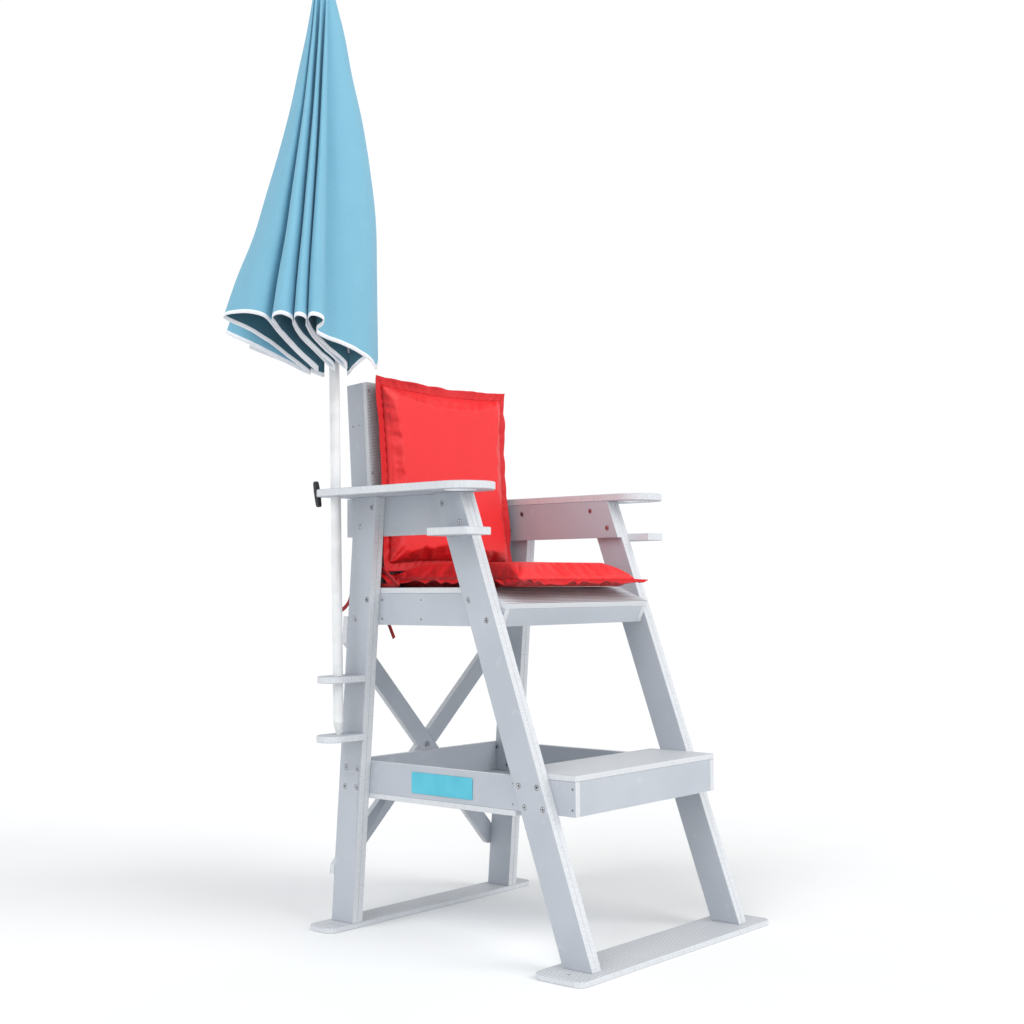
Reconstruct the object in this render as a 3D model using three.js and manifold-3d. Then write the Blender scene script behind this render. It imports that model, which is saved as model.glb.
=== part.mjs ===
// Lifeguard chair of laminated plastic boards, with a cushion and a closed parasol in a side holder.
// Millimetres, +Z up. The sitter faces -Y, so the sitter's right side is -X.
// The origin is the centre of the front foot board's underside.
import * as THREE from 'three';
import { mergeVertices } from 'three/addons/utils/BufferGeometryUtils.js';
import Module from 'manifold-3d';

const wasm = await Module();
wasm.setup();

const radians = Math.PI / 180;

// Boards and gaps
const gap = 0.3;                    // between boards and parts that touch
const layerThickness = 16;          // leg layers, rails, stiles, cross boards and brace boards
const deckThickness = 13;           // foot boards, seat, tread, tray floor and back panel
const armThickness = 18;            // armrests and cup shelves
const bracketThickness = 16;        // parasol brackets
const edgeRound = 1.5;              // bevel on the boards that hands and feet meet

// Overall layout
const legOuterWidth = 612;          // across the outer faces of the legs
const footSpacing = 733.5;          // between the centre lines of the two foot boards
const seatHeight = 825.5;           // top of the level seat panel
const armRise = 221.5;              // from there to the underside of the armrests
const backHeight = 514;             // back panel, measured up its own slope from the seat
const platformHeight = 404;         // top of the tray rails

// Foot boards
const footLength = 756;
const frontFootWidth = 136;
const rearFootWidth = 87;
const footCornerRadius = 25;
const anchorInset = 40;             // bolt hole from the end of the board
const anchorDiameter = 12;

// Legs, each of two layers
const frontLegBreadth = 80;         // measured level, front to back
const frontLegLean = 19.8 * radians;
const rearLegBreadth = 75;
const rearLegLean = 4.6 * radians;

// Bolt recesses in the outer leg layers
const recessDiameter = 13;
const recessDepth = 5;
const boltPitch = 46;               // height between the upper and lower bolt
const diagonalSpan = 38;            // level distance between the bolts of a slanted pair
const diagonalShift = 6;            // the pair's middle, from the leg's middle towards the seat
const squareSpan = 52;              // level distance in the four bolts of the tray's front
const rearSquareSpan = 39;
const rearSquareShift = 4;

// Arm rails and armrests
const armRailHeight = 95;
const armReachOut = 96;             // armrest edge beyond the leg's outer face
const armFrontCentreY = 298;        // centre of the round front end
const armRearReach = 46.17;         // armrest's rear edge behind the rear legs
const armCornerRadius = 25;
const cupHoleDiameter = 76;
const cupHoleY = 295;

// Cup shelves
const shelfWidth = 75;
const shelfFrontY = 237;
const shelfDrop = 103;              // shelf's underside below the armrest's
const shelfCornerRadius = 18;

// Seat
const seatRailHeight = 76;
const noseY = 218;                  // foremost edge of the seat
const slopeLength = 97;             // front strip that slopes down
const slopeAngle = 22.5 * radians;
const seatDepth = 441;              // from the nose to the back panel
const seatMiddleBoardY = 487.5;     // middle of the cross board
const seatRearBoardY = 619;

// Tray and step
const trayRailHeight = 76;
const stepFrontY = 26.5;
const treadDepth = 186;

// Backrest
const backLean = 3.7 * radians;
const stileWidth = 56;
const backUpperBoardHeight = 400;   // above the seat, up the slope
const backLowerBoardHeight = 140;
const backBottomBoardHeight = -70;

// Cross brace behind the rear legs
const braceWidth = 47;
const braceCentreHeight = 419;
const braceAngle = 45 * radians;
const braceFootHeight = 123;        // the lower ends are cut level here
const braceBoltDiameter = 8;
const braceHeadDiameter = 13;
const braceHeadHeight = 4;

// Parasol holder and parasol
const bracketReach = 110;           // tongue beyond the leg
const upperBracketTop = 615;
const lowerBracketTop = 474;
const lowerBracketForward = 8;      // the lower bracket stands this far out before the leg
const parasolOffset = 56;           // pole axis from the leg's outer face at the lower bracket
const parasolLean = 0.64 * radians;
const parasolBearing = 130.5 * radians; // plan direction in which the pole leans and the cloth gathers
const poleDiameter = 25;
const holderPlay = 2.5;             // the holes are this much wider than the pole
const tipLength = 39;
const tipEndDiameter = 6;
const tipSeatDiameter = 11;         // the cone sits in the lower bracket at this diameter
const tipAboveSeat = 29;
const spigotDiameter = 18;
const spigotLength = 30;
const poleJoint = 911;              // where the upper pole stands in the lower, above the lower bracket
const jointLean = 0.97 * radians;   // further lean of the upper pole, from the play in the joint
const jointSpigotDiameter = 19;
const jointSpigotLength = 60;
const jointPlay = 1.5;              // between the joint's spigot and its socket
const upperPoleDiameter = 22;
const upperPoleLength = 960;

// Clamp screw in the right armrest's rear edge
const clampScrewDiameter = 8;
const clampScrewPlay = 0.6;
const insertDiameter = 12;
const insertLength = 14;
const hubDiameter = 18;
const hubLength = 12;
const hubStandOff = 4;
const barLength = 64;
const barDepth = 12;
const barMiddleWidth = 16;
const barEndWidth = 11;
const barTurn = -10 * radians;      // how far the bar stands turned from upright

// Parasol frame
const ribCount = 8;
const ribDiameter = 4;
const ribTipRadius = 38;
const ribLength = 945;
const stretcherLength = 420;
const runnerDiameter = 44;
const runnerLength = 60;
const runnerHeight = 40;            // lower end above the pole's joint
const crownDiameter = 40;
const crownThickness = 8;
const finialDiameter = 24;
const finialHeight = 36;

// Closed canopy
const clothBundle = 3;              // cloth layers round the top
const hemWall = 7;                  // cloth layers at the hem
const flapWall = 1.6;               // cloth layers in the sides of a fold
const flapWallShare = 0.4;          // of a facet's turn at most
const hemDrop = 40;                 // lowest hem below the pole's joint
const gatherReach = 262;            // from the upper pole, towards the gathered side
const plainReach = 103;             // and towards the other side
const frontReach = 225;             // towards the front of the gathered side, at right angles to both
const rearReach = 105;
const creaseRadius = 50;            // of the deepest creases at the hem
const panelRise = 95;               // hem between two rib ends, above the rib ends
const foldFullness = 0.6;           // the smaller, the rounder the folds

// How far down each row of points lies, and its reach towards the gathered side, the other side and across
const canopyRowShares = [
  [0, 0, 0, 0],
  [0.07, 0.04, 0.11, 0.05],
  [0.17, 0.11, 0.33, 0.16],
  [0.28, 0.2, 0.5, 0.3],
  [0.4, 0.3, 0.73, 0.45],
  [0.52, 0.42, 0.89, 0.6],
  [0.64, 0.55, 0.99, 0.74],
  [0.76, 0.68, 1, 0.86],
  [0.88, 0.85, 1, 0.95],
  [1, 1, 1, 1],
];

// Each fold's end round the hem, how far that end is drawn in towards the pole, and the fold's facets
const foldShares = [
  [70.6, 1, 12],
  [86.7, 1, 6],
  [99.3, 1, 6],
  [110, 1, 6],
  [180, 0, 9],
  [240, 0.8, 7],
  [290, 0.9, 7],
  [335, 0.8, 7],
];

// Cushions
const cushionHalfWidth = 247;
const cushionFlange = 14;
const cushionPull = 7;              // how far the sides draw in between the corners
const flangeThickness = 4;
const seatCushionLength = 462;
const seatCushionClearance = 7;     // from the back panel's foot
const seatCushionRise = 38;
const seatCushionDrop = 16;
const backCushionHeight = 478;
const backCushionStart = 48;        // lower edge above the seat, up the slope
const backCushionRise = 28;
const backCushionDrop = 22;
const cushionOffset = 10;           // the cushions lie this far to the sitter's right

// Faceting and overruns
const holeSides = 16;
const cupSides = 40;
const poleSides = 20;
const rodSides = 6;
const overrun = 2;                  // how far cutters run past what they cut
const weld = 0.0001;
const cushionCells = 20;

// Derived planes across the chair
const legOuterX = legOuterWidth / 2;
const legSeamX = legOuterX - layerThickness;
const legInnerX = legSeamX - gap - layerThickness;
const railOuterX = legInnerX - gap;
const railInnerX = railOuterX - layerThickness;
const stileOuterX = railInnerX - gap;
const stileInnerX = stileOuterX - layerThickness;
const crossHalfX = railInnerX - gap;

// Derived lines of the legs, by height
const footTop = deckThickness + gap;
const armHeight = seatHeight + armRise;
const legTop = armHeight - gap;
const frontLegAt = z => -frontLegBreadth / 2 + (z - footTop) * Math.tan(frontLegLean);
const rearFootFrontY = footSpacing - rearFootWidth / 2;
const rearLegAt = z => rearFootFrontY - (z - footTop) * Math.tan(rearLegLean);

// Derived heights
const armTop = armHeight + armThickness;
const armRearY = rearLegAt(armHeight) + rearLegBreadth + armRearReach;
const armRailTop = armHeight - gap;
const armRailBottom = armRailTop - armRailHeight;
const seatRailTop = seatHeight - deckThickness - gap;
const seatRailBottom = seatRailTop - seatRailHeight;
const trayRailBottom = platformHeight - trayRailHeight;
const shelfUnderside = armHeight - shelfDrop;
const shelfTop = shelfUnderside + armThickness;

// Derived line of the backrest: the stiles' front face, by height
const backFootY = noseY + seatDepth + (deckThickness + gap) / Math.cos(backLean);
const stileFrontAt = z => backFootY + (z - seatHeight) * Math.tan(backLean);
const stileBackAt = z => stileFrontAt(z) + stileWidth / Math.cos(backLean);

const group = new THREE.Group();

const finishes = {
  board: { color: 0xc4c9cf, roughness: 0.55, metalness: 0 },
  steel: { color: 0xb9bcc0, roughness: 0.3, metalness: 1 },
  black: { color: 0x17181a, roughness: 0.45, metalness: 0 },
  pole: { color: 0xf1f0ec, roughness: 0.35, metalness: 0 },
  grey: { color: 0xd8d8d4, roughness: 0.5, metalness: 0 },
  canopy: { color: 0x6fb3d2, roughness: 0.9, metalness: 0 },
  cushion: { color: 0xe0262b, roughness: 0.85, metalness: 0 },
};

function piece(name, geometry, finish, parent = group) {
  const mesh = new THREE.Mesh(geometry, new THREE.MeshStandardMaterial(finishes[finish]));
  mesh.name = name;
  parent.add(mesh);
  return mesh;
}

// Joining and cutting
function toSolid(geometry) {
  const bare = geometry.clone();
  bare.deleteAttribute('normal');
  bare.deleteAttribute('uv');
  const merged = mergeVertices(bare, weld);
  return new wasm.Manifold(new wasm.Mesh({
    numProp: 3,
    vertProperties: merged.attributes.position.array,
    triVerts: Uint32Array.from(merged.index.array),
  }));
}

function toGeometry(solid) {
  const mesh = solid.getMesh();
  const geometry = new THREE.BufferGeometry();
  geometry.setAttribute('position', new THREE.BufferAttribute(mesh.vertProperties, mesh.numProp));
  geometry.setIndex(new THREE.BufferAttribute(mesh.triVerts, 1));
  return geometry;
}

const cut = (geometry, cutters) =>
  toGeometry(cutters.reduce((solid, cutter) => solid.subtract(toSolid(cutter)), toSolid(geometry)));

const join = (first, second) => toGeometry(toSolid(first).add(toSolid(second)));

// Basic forms
function shapeOf(points) {
  return new THREE.Shape(points.map(([a, b]) => new THREE.Vector2(a, b)));
}

// A board whose side outline is given as [y, z] points, from xLow to xHigh
function sideBoard(outline, xLow, xHigh) {
  const geometry = new THREE.ExtrudeGeometry(shapeOf(outline), { depth: xHigh - xLow, bevelEnabled: false });
  const toSide = new THREE.Matrix4().makeBasis(
    new THREE.Vector3(0, 1, 0), new THREE.Vector3(0, 0, 1), new THREE.Vector3(1, 0, 0));
  return geometry.applyMatrix4(toSide).translate(xLow, 0, 0);
}

// A level board from a plan shape, its top and bottom edges slightly bevelled
function levelBoard(shape, bottom, thickness, curveSegments) {
  const geometry = new THREE.ExtrudeGeometry(shape, {
    depth: thickness - 2 * edgeRound,
    bevelThickness: edgeRound,
    bevelSize: edgeRound,
    bevelOffset: -edgeRound,
    bevelSegments: 1,
    curveSegments,
  });
  return geometry.translate(0, 0, bottom + edgeRound);
}

function block(xLow, xHigh, yLow, yHigh, zLow, zHigh) {
  const geometry = new THREE.BoxGeometry(xHigh - xLow, yHigh - yLow, zHigh - zLow);
  return geometry.translate((xLow + xHigh) / 2, (yLow + yHigh) / 2, (zLow + zHigh) / 2);
}

function uprightCylinder(diameter, zLow, zHigh, sides) {
  const geometry = new THREE.CylinderGeometry(diameter / 2, diameter / 2, zHigh - zLow, sides);
  return geometry.rotateX(Math.PI / 2).translate(0, 0, (zLow + zHigh) / 2);
}

// A turned form round Z from [radius, z] points that run up the outside
function turned(profile, sides) {
  const points = profile.map(([radius, z]) => new THREE.Vector2(radius, z));
  return new THREE.LatheGeometry(points, sides).rotateX(Math.PI / 2);
}

function roundedRectangle(xLow, xHigh, yLow, yHigh, radius) {
  const shape = new THREE.Shape();
  shape.moveTo(xLow + radius, yLow);
  shape.lineTo(xHigh - radius, yLow);
  shape.absarc(xHigh - radius, yLow + radius, radius, -Math.PI / 2, 0);
  shape.absarc(xHigh - radius, yHigh - radius, radius, 0, Math.PI / 2);
  shape.absarc(xLow + radius, yHigh - radius, radius, Math.PI / 2, Math.PI);
  shape.absarc(xLow + radius, yLow + radius, radius, Math.PI, Math.PI * 3 / 2);
  return shape;
}

const sideNames = [['right', -1], ['left', 1]];
const span = (side, a, b) => (side > 0 ? [a, b] : [-b, -a]);

// Foot boards
function footBoard(name, centreY, width) {
  const half = footLength / 2;
  const shape = roundedRectangle(-half, half, centreY - width / 2, centreY + width / 2, footCornerRadius);
  const holes = sideNames.map(([, side]) => uprightCylinder(
    anchorDiameter, -overrun, deckThickness + overrun, holeSides).translate(side * (half - anchorInset), centreY, 0));
  const board = levelBoard(shape, 0, deckThickness, 6);
  piece(name, cut(board, holes), 'board');
}

footBoard('front_foot_board', 0, frontFootWidth);
footBoard('rear_foot_board', footSpacing, rearFootWidth);

// Bolt places on the legs, as [y, z]
function slantedPair(legAt, breadth, middleZ, towardsSeat) {
  return [1, -1].map(level => {
    const z = middleZ + level * boltPitch / 2;
    return [legAt(z) + breadth / 2 + towardsSeat * (diagonalShift + level * diagonalSpan / 2), z];
  });
}

function squareOfFour(legAt, breadth, middleZ, levelSpan, shift) {
  return [1, -1].flatMap(level => [1, -1].map(end => {
    const z = middleZ + level * boltPitch / 2;
    return [legAt(z) + breadth / 2 + shift + end * levelSpan / 2, z];
  }));
}

const armBoltZ = (armRailTop + armRailBottom) / 2;
const seatBoltZ = (seatRailTop + seatRailBottom) / 2;
const trayBoltZ = (platformHeight + trayRailBottom) / 2;
const frontLegBolts = [
  ...slantedPair(frontLegAt, frontLegBreadth, armBoltZ, 1),
  ...slantedPair(frontLegAt, frontLegBreadth, seatBoltZ, 1),
  ...squareOfFour(frontLegAt, frontLegBreadth, trayBoltZ, squareSpan, 0),
];
const rearLegBolts = [
  ...slantedPair(rearLegAt, rearLegBreadth, armBoltZ, -1),
  ...slantedPair(rearLegAt, rearLegBreadth, seatBoltZ, -1),
  ...squareOfFour(rearLegAt, rearLegBreadth, trayBoltZ, rearSquareSpan, -rearSquareShift),
];

function recess(faceX, y, z, outward) {
  const length = recessDepth + overrun;
  const geometry = new THREE.CylinderGeometry(recessDiameter / 2, recessDiameter / 2, length, holeSides);
  return geometry.rotateZ(Math.PI / 2).translate(faceX + outward * (overrun - recessDepth) / 2, y, z);
}

// Legs
function legOutline(legAt, breadth) {
  return [
    [legAt(footTop), footTop],
    [legAt(footTop) + breadth, footTop],
    [legAt(legTop) + breadth, legTop],
    [legAt(legTop), legTop],
  ];
}

function leg(end, legAt, breadth, bolts) {
  const outline = legOutline(legAt, breadth);
  for (const [sideName, side] of sideNames) {
    const outer = sideBoard(outline, ...span(side, legSeamX, legOuterX));
    const inner = sideBoard(outline, ...span(side, legInnerX, legSeamX - gap));
    const recesses = bolts.map(([y, z]) => recess(side * legOuterX, y, z, side));
    piece(`${end}_leg_${sideName}_outer`, cut(outer, recesses), 'board');
    piece(`${end}_leg_${sideName}_inner`, inner, 'board');
  }
}

leg('front', frontLegAt, frontLegBreadth, frontLegBolts);
leg('rear', rearLegAt, rearLegBreadth, rearLegBolts);

// Arm rails, cut along the front leg's front line and running back to the stiles
for (const [sideName, side] of sideNames) {
  const rearEnd = stileBackAt(armRailTop);
  const outline = [
    [frontLegAt(armRailBottom), armRailBottom],
    [rearEnd, armRailBottom],
    [rearEnd, armRailTop],
    [frontLegAt(armRailTop), armRailTop],
  ];
  const bolts = frontLegBolts.slice(0, 2).concat(rearLegBolts.slice(0, 2));
  const recesses = bolts.map(([y, z]) => recess(side * railInnerX, y, z, -side));
  piece(`arm_rail_${sideName}`, cut(sideBoard(outline, ...span(side, railInnerX, railOuterX)), recesses), 'board');
}

// Pole axis of the parasol, by height
const lowerBracketBottom = lowerBracketTop - bracketThickness;
const upperBracketBottom = upperBracketTop - bracketThickness;
const poleFootX = -legOuterX - parasolOffset;
const poleFootY = rearLegAt(upperBracketTop) + rearLegBreadth / 2;
const leanSideways = Math.tan(parasolLean) * Math.cos(parasolBearing);
const leanBackwards = Math.tan(parasolLean) * Math.sin(parasolBearing);
const poleXAt = z => poleFootX + (z - lowerBracketTop) * leanSideways;
const poleYAt = z => poleFootY + (z - lowerBracketTop) * leanBackwards;

// The parasol stands in a turned group, whose Z is the pole's axis
const parasol = new THREE.Group();
const leanAxis = new THREE.Vector3(-Math.sin(parasolBearing), Math.cos(parasolBearing), 0);
parasol.position.set(poleFootX, poleFootY, lowerBracketTop);
parasol.quaternion.setFromAxisAngle(leanAxis, parasolLean);
parasol.updateMatrixWorld(true);
group.add(parasol);

// The upper pole and all that it carries lean a little further from the joint
const parasolHead = new THREE.Group();
parasolHead.position.set(0, 0, poleJoint);
parasolHead.quaternion.setFromAxisAngle(leanAxis, jointLean);
parasol.add(parasolHead);

function poleHole(diameter, zLow, zHigh) {
  const from = zLow - lowerBracketTop - overrun;
  const to = zHigh - lowerBracketTop + overrun;
  return uprightCylinder(diameter, from, to, poleSides).applyMatrix4(parasol.matrixWorld);
}

const holderHole = poleDiameter + holderPlay;

// Armrests, with a round front end, a cup hole and, on the right, the pole hole and the clamp's bore
const armInnerX = railInnerX;
const armOuterX = legOuterX + armReachOut;
const armFrontRadius = (armOuterX - armInnerX) / 2;
const armMiddleX = (armOuterX + armInnerX) / 2;
const cupHoleX = legOuterX + gap + shelfWidth / 2;
const clampZ = armHeight + armThickness / 2;
const clampX = poleXAt(clampZ);
const insertFrontY = armRearY - insertLength;

function armrestShape(side) {
  const shape = new THREE.Shape();
  const rear = armCornerRadius;
  shape.moveTo(side * armInnerX, armFrontCentreY);
  shape.absarc(side * armMiddleX, armFrontCentreY, armFrontRadius,
    side > 0 ? Math.PI : 0, side > 0 ? 2 * Math.PI : -Math.PI, side < 0);
  shape.lineTo(side * armOuterX, armRearY - rear);
  shape.absarc(side * (armOuterX - rear), armRearY - rear, rear,
    side > 0 ? 0 : Math.PI, Math.PI / 2, side < 0);
  shape.lineTo(side * armInnerX, armRearY);
  return shape;
}

function alongY(diameter, yLow, yHigh, sides) {
  const geometry = new THREE.CylinderGeometry(diameter / 2, diameter / 2, yHigh - yLow, sides);
  return geometry.translate(clampX, (yLow + yHigh) / 2, clampZ);
}

for (const [sideName, side] of sideNames) {
  const board = levelBoard(armrestShape(side), armHeight, armThickness, 20);
  const cutters = [
    uprightCylinder(cupHoleDiameter, armHeight - overrun, armTop + overrun, cupSides)
      .translate(side * cupHoleX, cupHoleY, 0),
  ];
  if (side < 0) {
    cutters.push(poleHole(holderHole, armHeight, armTop));
    cutters.push(alongY(clampScrewDiameter + 2 * clampScrewPlay, poleYAt(clampZ), armRearY, holeSides));
    cutters.push(alongY(insertDiameter + 2 * gap, insertFrontY, armRearY + overrun, holeSides));
  }
  piece(`armrest_${sideName}`, cut(board, cutters), 'board');
}

// Cup shelves on the front legs' outer faces
for (const [sideName, side] of sideNames) {
  const rearY = frontLegAt(shelfUnderside) + frontLegBreadth;
  const inner = side * (legOuterX + gap);
  const outer = side * (legOuterX + gap + shelfWidth);
  const corner = side * shelfCornerRadius;
  const shape = new THREE.Shape();
  shape.moveTo(inner, shelfFrontY);
  shape.lineTo(outer - corner, shelfFrontY);
  shape.absarc(outer - corner, shelfFrontY + shelfCornerRadius, shelfCornerRadius,
    -Math.PI / 2, side > 0 ? 0 : -Math.PI, side < 0);
  shape.lineTo(outer, rearY - shelfCornerRadius);
  shape.absarc(outer - corner, rearY - shelfCornerRadius, shelfCornerRadius,
    side > 0 ? 0 : Math.PI, Math.PI / 2, side < 0);
  shape.lineTo(inner, rearY);
  piece(`cup_shelf_${sideName}`, levelBoard(shape, shelfUnderside, armThickness, 6), 'board');
}

// Seat: the rails, panel, slope and fascia share the bend and the nose
const cosSlope = Math.cos(slopeAngle);
const sinSlope = Math.sin(slopeAngle);
const bendY = noseY + slopeLength * cosSlope;
const noseZ = seatHeight - slopeLength * sinSlope;
const mitre = depth => depth * Math.tan(slopeAngle / 2);
const underNose = depth => [noseY + depth * sinSlope, noseZ - depth * cosSlope];
const railDrop = deckThickness + gap;
const [railNoseY, railNoseZ] = underNose(railDrop);
const frontLineAt = z => railNoseY + (railNoseZ - z) * Math.tan(slopeAngle);

for (const [sideName, side] of sideNames) {
  const rearEnd = stileBackAt(seatRailBottom);
  const outline = [
    [frontLineAt(seatRailBottom), seatRailBottom],
    [rearEnd, seatRailBottom],
    [rearEnd, seatRailTop],
    [bendY + mitre(railDrop), seatRailTop],
    [railNoseY, railNoseZ],
  ];
  piece(`seat_rail_${sideName}`, sideBoard(outline, ...span(side, railInnerX, railOuterX)), 'board');
}

const seatPanelRearY = stileFrontAt(seatHeight - deckThickness) - gap;
piece('seat_panel', sideBoard([
  [bendY + gap, seatHeight],
  [bendY + mitre(deckThickness) + gap, seatHeight - deckThickness],
  [seatPanelRearY, seatHeight - deckThickness],
  [seatPanelRearY, seatHeight],
], -railOuterX, railOuterX), 'board');

piece('seat_slope', sideBoard([
  [bendY, seatHeight],
  [noseY, noseZ],
  underNose(deckThickness),
  [bendY + mitre(deckThickness), seatHeight - deckThickness],
], -railOuterX, railOuterX), 'board');

const fasciaBackAt = z => frontLineAt(z) + layerThickness / cosSlope;
const fasciaTopBack = [railNoseY + layerThickness * cosSlope, railNoseZ + layerThickness * sinSlope];
piece('seat_fascia', sideBoard([
  [railNoseY, railNoseZ],
  [frontLineAt(seatRailBottom), seatRailBottom],
  [fasciaBackAt(seatRailBottom), seatRailBottom],
  fasciaTopBack,
], -crossHalfX, crossHalfX), 'board');

const halfLayer = layerThickness / 2;
for (const [name, middleY] of [['middle', seatMiddleBoardY], ['rear', seatRearBoardY]]) {
  piece(`seat_cross_board_${name}`, block(-crossHalfX, crossHalfX,
    middleY - halfLayer, middleY + halfLayer, seatRailBottom, seatRailTop), 'board');
}

// Tray and step between the legs
const trayRearY = rearLegAt(platformHeight) + rearLegBreadth - gap;
const treadBackY = stepFrontY + treadDepth;
const middleBoardFrontY = treadBackY - layerThickness;
for (const [sideName, side] of sideNames) {
  piece(`tray_rail_${sideName}`, block(...span(side, railInnerX, railOuterX),
    stepFrontY, trayRearY, trayRailBottom, platformHeight), 'board');
}
for (const [name, frontY] of [
  ['step_fascia', stepFrontY],
  ['tray_middle_board', middleBoardFrontY],
  ['tray_rear_board', trayRearY - layerThickness],
]) {
  piece(name, block(-crossHalfX, crossHalfX, frontY, frontY + layerThickness, trayRailBottom, platformHeight), 'board');
}
const treadBottom = platformHeight + gap;
piece('step_tread', block(-railOuterX, railOuterX, stepFrontY, treadBackY,
  treadBottom, treadBottom + deckThickness), 'board');
const trayFloorTop = trayRailBottom - gap;
piece('tray_floor', block(-railOuterX, railOuterX, middleBoardFrontY, trayRearY,
  trayFloorTop - deckThickness, trayFloorTop), 'board');

// Backrest, in a group that leans with it: Y runs through its thickness and Z up its slope
const backrest = new THREE.Group();
backrest.position.set(0, backFootY, seatHeight);
backrest.rotation.x = -backLean;
group.add(backrest);

const stileBottom = -(seatHeight - seatRailBottom) / Math.cos(backLean);
for (const [sideName, side] of sideNames) {
  piece(`back_stile_${sideName}`, block(...span(side, stileInnerX, stileOuterX),
    0, stileWidth, stileBottom, backHeight), 'board', backrest);
}
piece('back_panel', block(-stileOuterX, stileOuterX, -deckThickness - gap, -gap, gap, backHeight), 'board', backrest);
for (const [name, height] of [
  ['upper', backUpperBoardHeight],
  ['lower', backLowerBoardHeight],
  ['bottom', backBottomBoardHeight],
]) {
  piece(`back_cross_board_${name}`, block(gap - stileInnerX, stileInnerX - gap,
    0, stileWidth, height, height + layerThickness), 'board', backrest);
}

// Cross brace: two boards halved into each other on the back of the rear legs
const brace = new THREE.Group();
const braceY = rearLegAt(braceCentreHeight) + rearLegBreadth + gap / Math.cos(rearLegLean);
brace.position.set(0, braceY, braceCentreHeight);
brace.rotation.x = rearLegLean;
group.add(brace);

// In the brace's own plane, X runs across and Z up, and Y is the thickness
function braceBoard(name, rise, lapsFront) {
  const halfLevel = braceWidth / 2 / Math.cos(braceAngle);
  const lineAt = (x, edge) => rise * x * Math.tan(braceAngle) + edge * halfLevel;
  const footCut = (braceFootHeight - braceCentreHeight) / Math.cos(rearLegLean);
  const footX = edge => (footCut - edge * halfLevel) / Math.tan(braceAngle);
  const half = legOuterX;
  const outline = [
    [rise * half, lineAt(rise * half, 1)],
    [rise * half, lineAt(rise * half, -1)],
    [rise * footX(-1), footCut],
    [-rise * half, footCut],
    [-rise * half, lineAt(-rise * half, 1)],
  ];
  const flat = new THREE.ExtrudeGeometry(shapeOf(outline), { depth: layerThickness, bevelEnabled: false });
  const board = flat.rotateX(Math.PI / 2).translate(0, layerThickness, 0);
  const lapHalf = braceWidth / 2 + gap;
  const lapStart = lapsFront ? -overrun : layerThickness / 2 - gap / 2;
  const lapEnd = lapsFront ? layerThickness / 2 + gap / 2 : layerThickness + overrun;
  const lap = block(-lapHalf, lapHalf, lapStart, lapEnd, -braceWidth, braceWidth)
    .rotateY(rise * (Math.PI / 2 - braceAngle) + (rise > 0 ? Math.PI / 2 : -Math.PI / 2));
  const bolt = new THREE.CylinderGeometry(braceBoltDiameter / 2 + gap, braceBoltDiameter / 2 + gap,
    layerThickness + 2 * overrun, holeSides).translate(0, layerThickness / 2, 0);
  piece(name, cut(board, [lap, bolt]), 'board', brace);
}

braceBoard('brace_board_rising_left', 1, true);
braceBoard('brace_board_rising_right', -1, false);

// Bolt through the crossing, with a low round head at each end
const headStart = layerThickness + gap;
piece('brace_bolt', turned([
  [0, -gap - braceHeadHeight],
  [braceHeadDiameter / 2, -gap - braceHeadHeight],
  [braceHeadDiameter / 2, -gap],
  [braceBoltDiameter / 2, -gap],
  [braceBoltDiameter / 2, headStart],
  [braceHeadDiameter / 2, headStart],
  [braceHeadDiameter / 2, headStart + braceHeadHeight],
  [0, headStart + braceHeadHeight],
], holeSides).rotateX(-Math.PI / 2), 'steel', brace);

// Parasol brackets: tongues with a round end on the right rear leg's outer face
const tipSeatHole = tipSeatDiameter + 2 * gap;
function bracket(name, bottom, holeDiameter, forward) {
  const inner = -legOuterX - gap;
  const frontY = rearLegAt(bottom) - forward;
  const radius = rearLegBreadth / 2;
  const roundX = -legOuterX - bracketReach + radius;
  const shape = new THREE.Shape();
  shape.moveTo(inner, frontY);
  shape.lineTo(inner, frontY + rearLegBreadth);
  shape.lineTo(roundX, frontY + rearLegBreadth);
  shape.absarc(roundX, frontY + radius, radius, Math.PI / 2, Math.PI * 3 / 2);
  const board = levelBoard(shape, bottom, bracketThickness, 10);
  piece(name, cut(board, [poleHole(holeDiameter, bottom, bottom + bracketThickness)]), 'board');
}

bracket('parasol_bracket_upper', upperBracketBottom, holderHole, 0);
bracket('parasol_bracket_lower', lowerBracketBottom, tipSeatHole, lowerBracketForward);

// Clamp: threaded insert, screw and T-shaped knob, on one axis along Y
const screwTipY = poleYAt(clampZ) + poleDiameter / 2 / Math.cos(parasolLean) + gap;
const hubFrontY = armRearY + hubStandOff;
const hubBackY = hubFrontY + hubLength;
const insertTube = cut(alongY(insertDiameter, insertFrontY, armRearY, holeSides),
  [alongY(clampScrewDiameter + 2 * gap, insertFrontY - overrun, armRearY + overrun, holeSides)]);
piece('clamp_insert', insertTube, 'steel');
piece('clamp_screw', alongY(clampScrewDiameter, screwTipY, hubFrontY - gap, holeSides), 'steel');

function knobBar() {
  const half = barLength / 2;
  const middle = barMiddleWidth / 2;
  const end = barEndWidth / 2;
  const shape = new THREE.Shape();
  shape.moveTo(-end, -half + end);
  shape.absarc(0, -half + end, end, Math.PI, 2 * Math.PI);
  shape.quadraticCurveTo(middle, 0, end, half - end);
  shape.absarc(0, half - end, end, 0, Math.PI);
  shape.quadraticCurveTo(-middle, 0, -end, -half + end);
  const bevel = edgeRound;
  const geometry = new THREE.ExtrudeGeometry(shape, {
    depth: barDepth - 2 * bevel,
    bevelThickness: bevel,
    bevelSize: bevel,
    bevelOffset: -bevel,
    bevelSegments: 1,
    curveSegments: 6,
  });
  return geometry.translate(0, 0, bevel).rotateX(Math.PI / 2).rotateY(barTurn);
}

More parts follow.
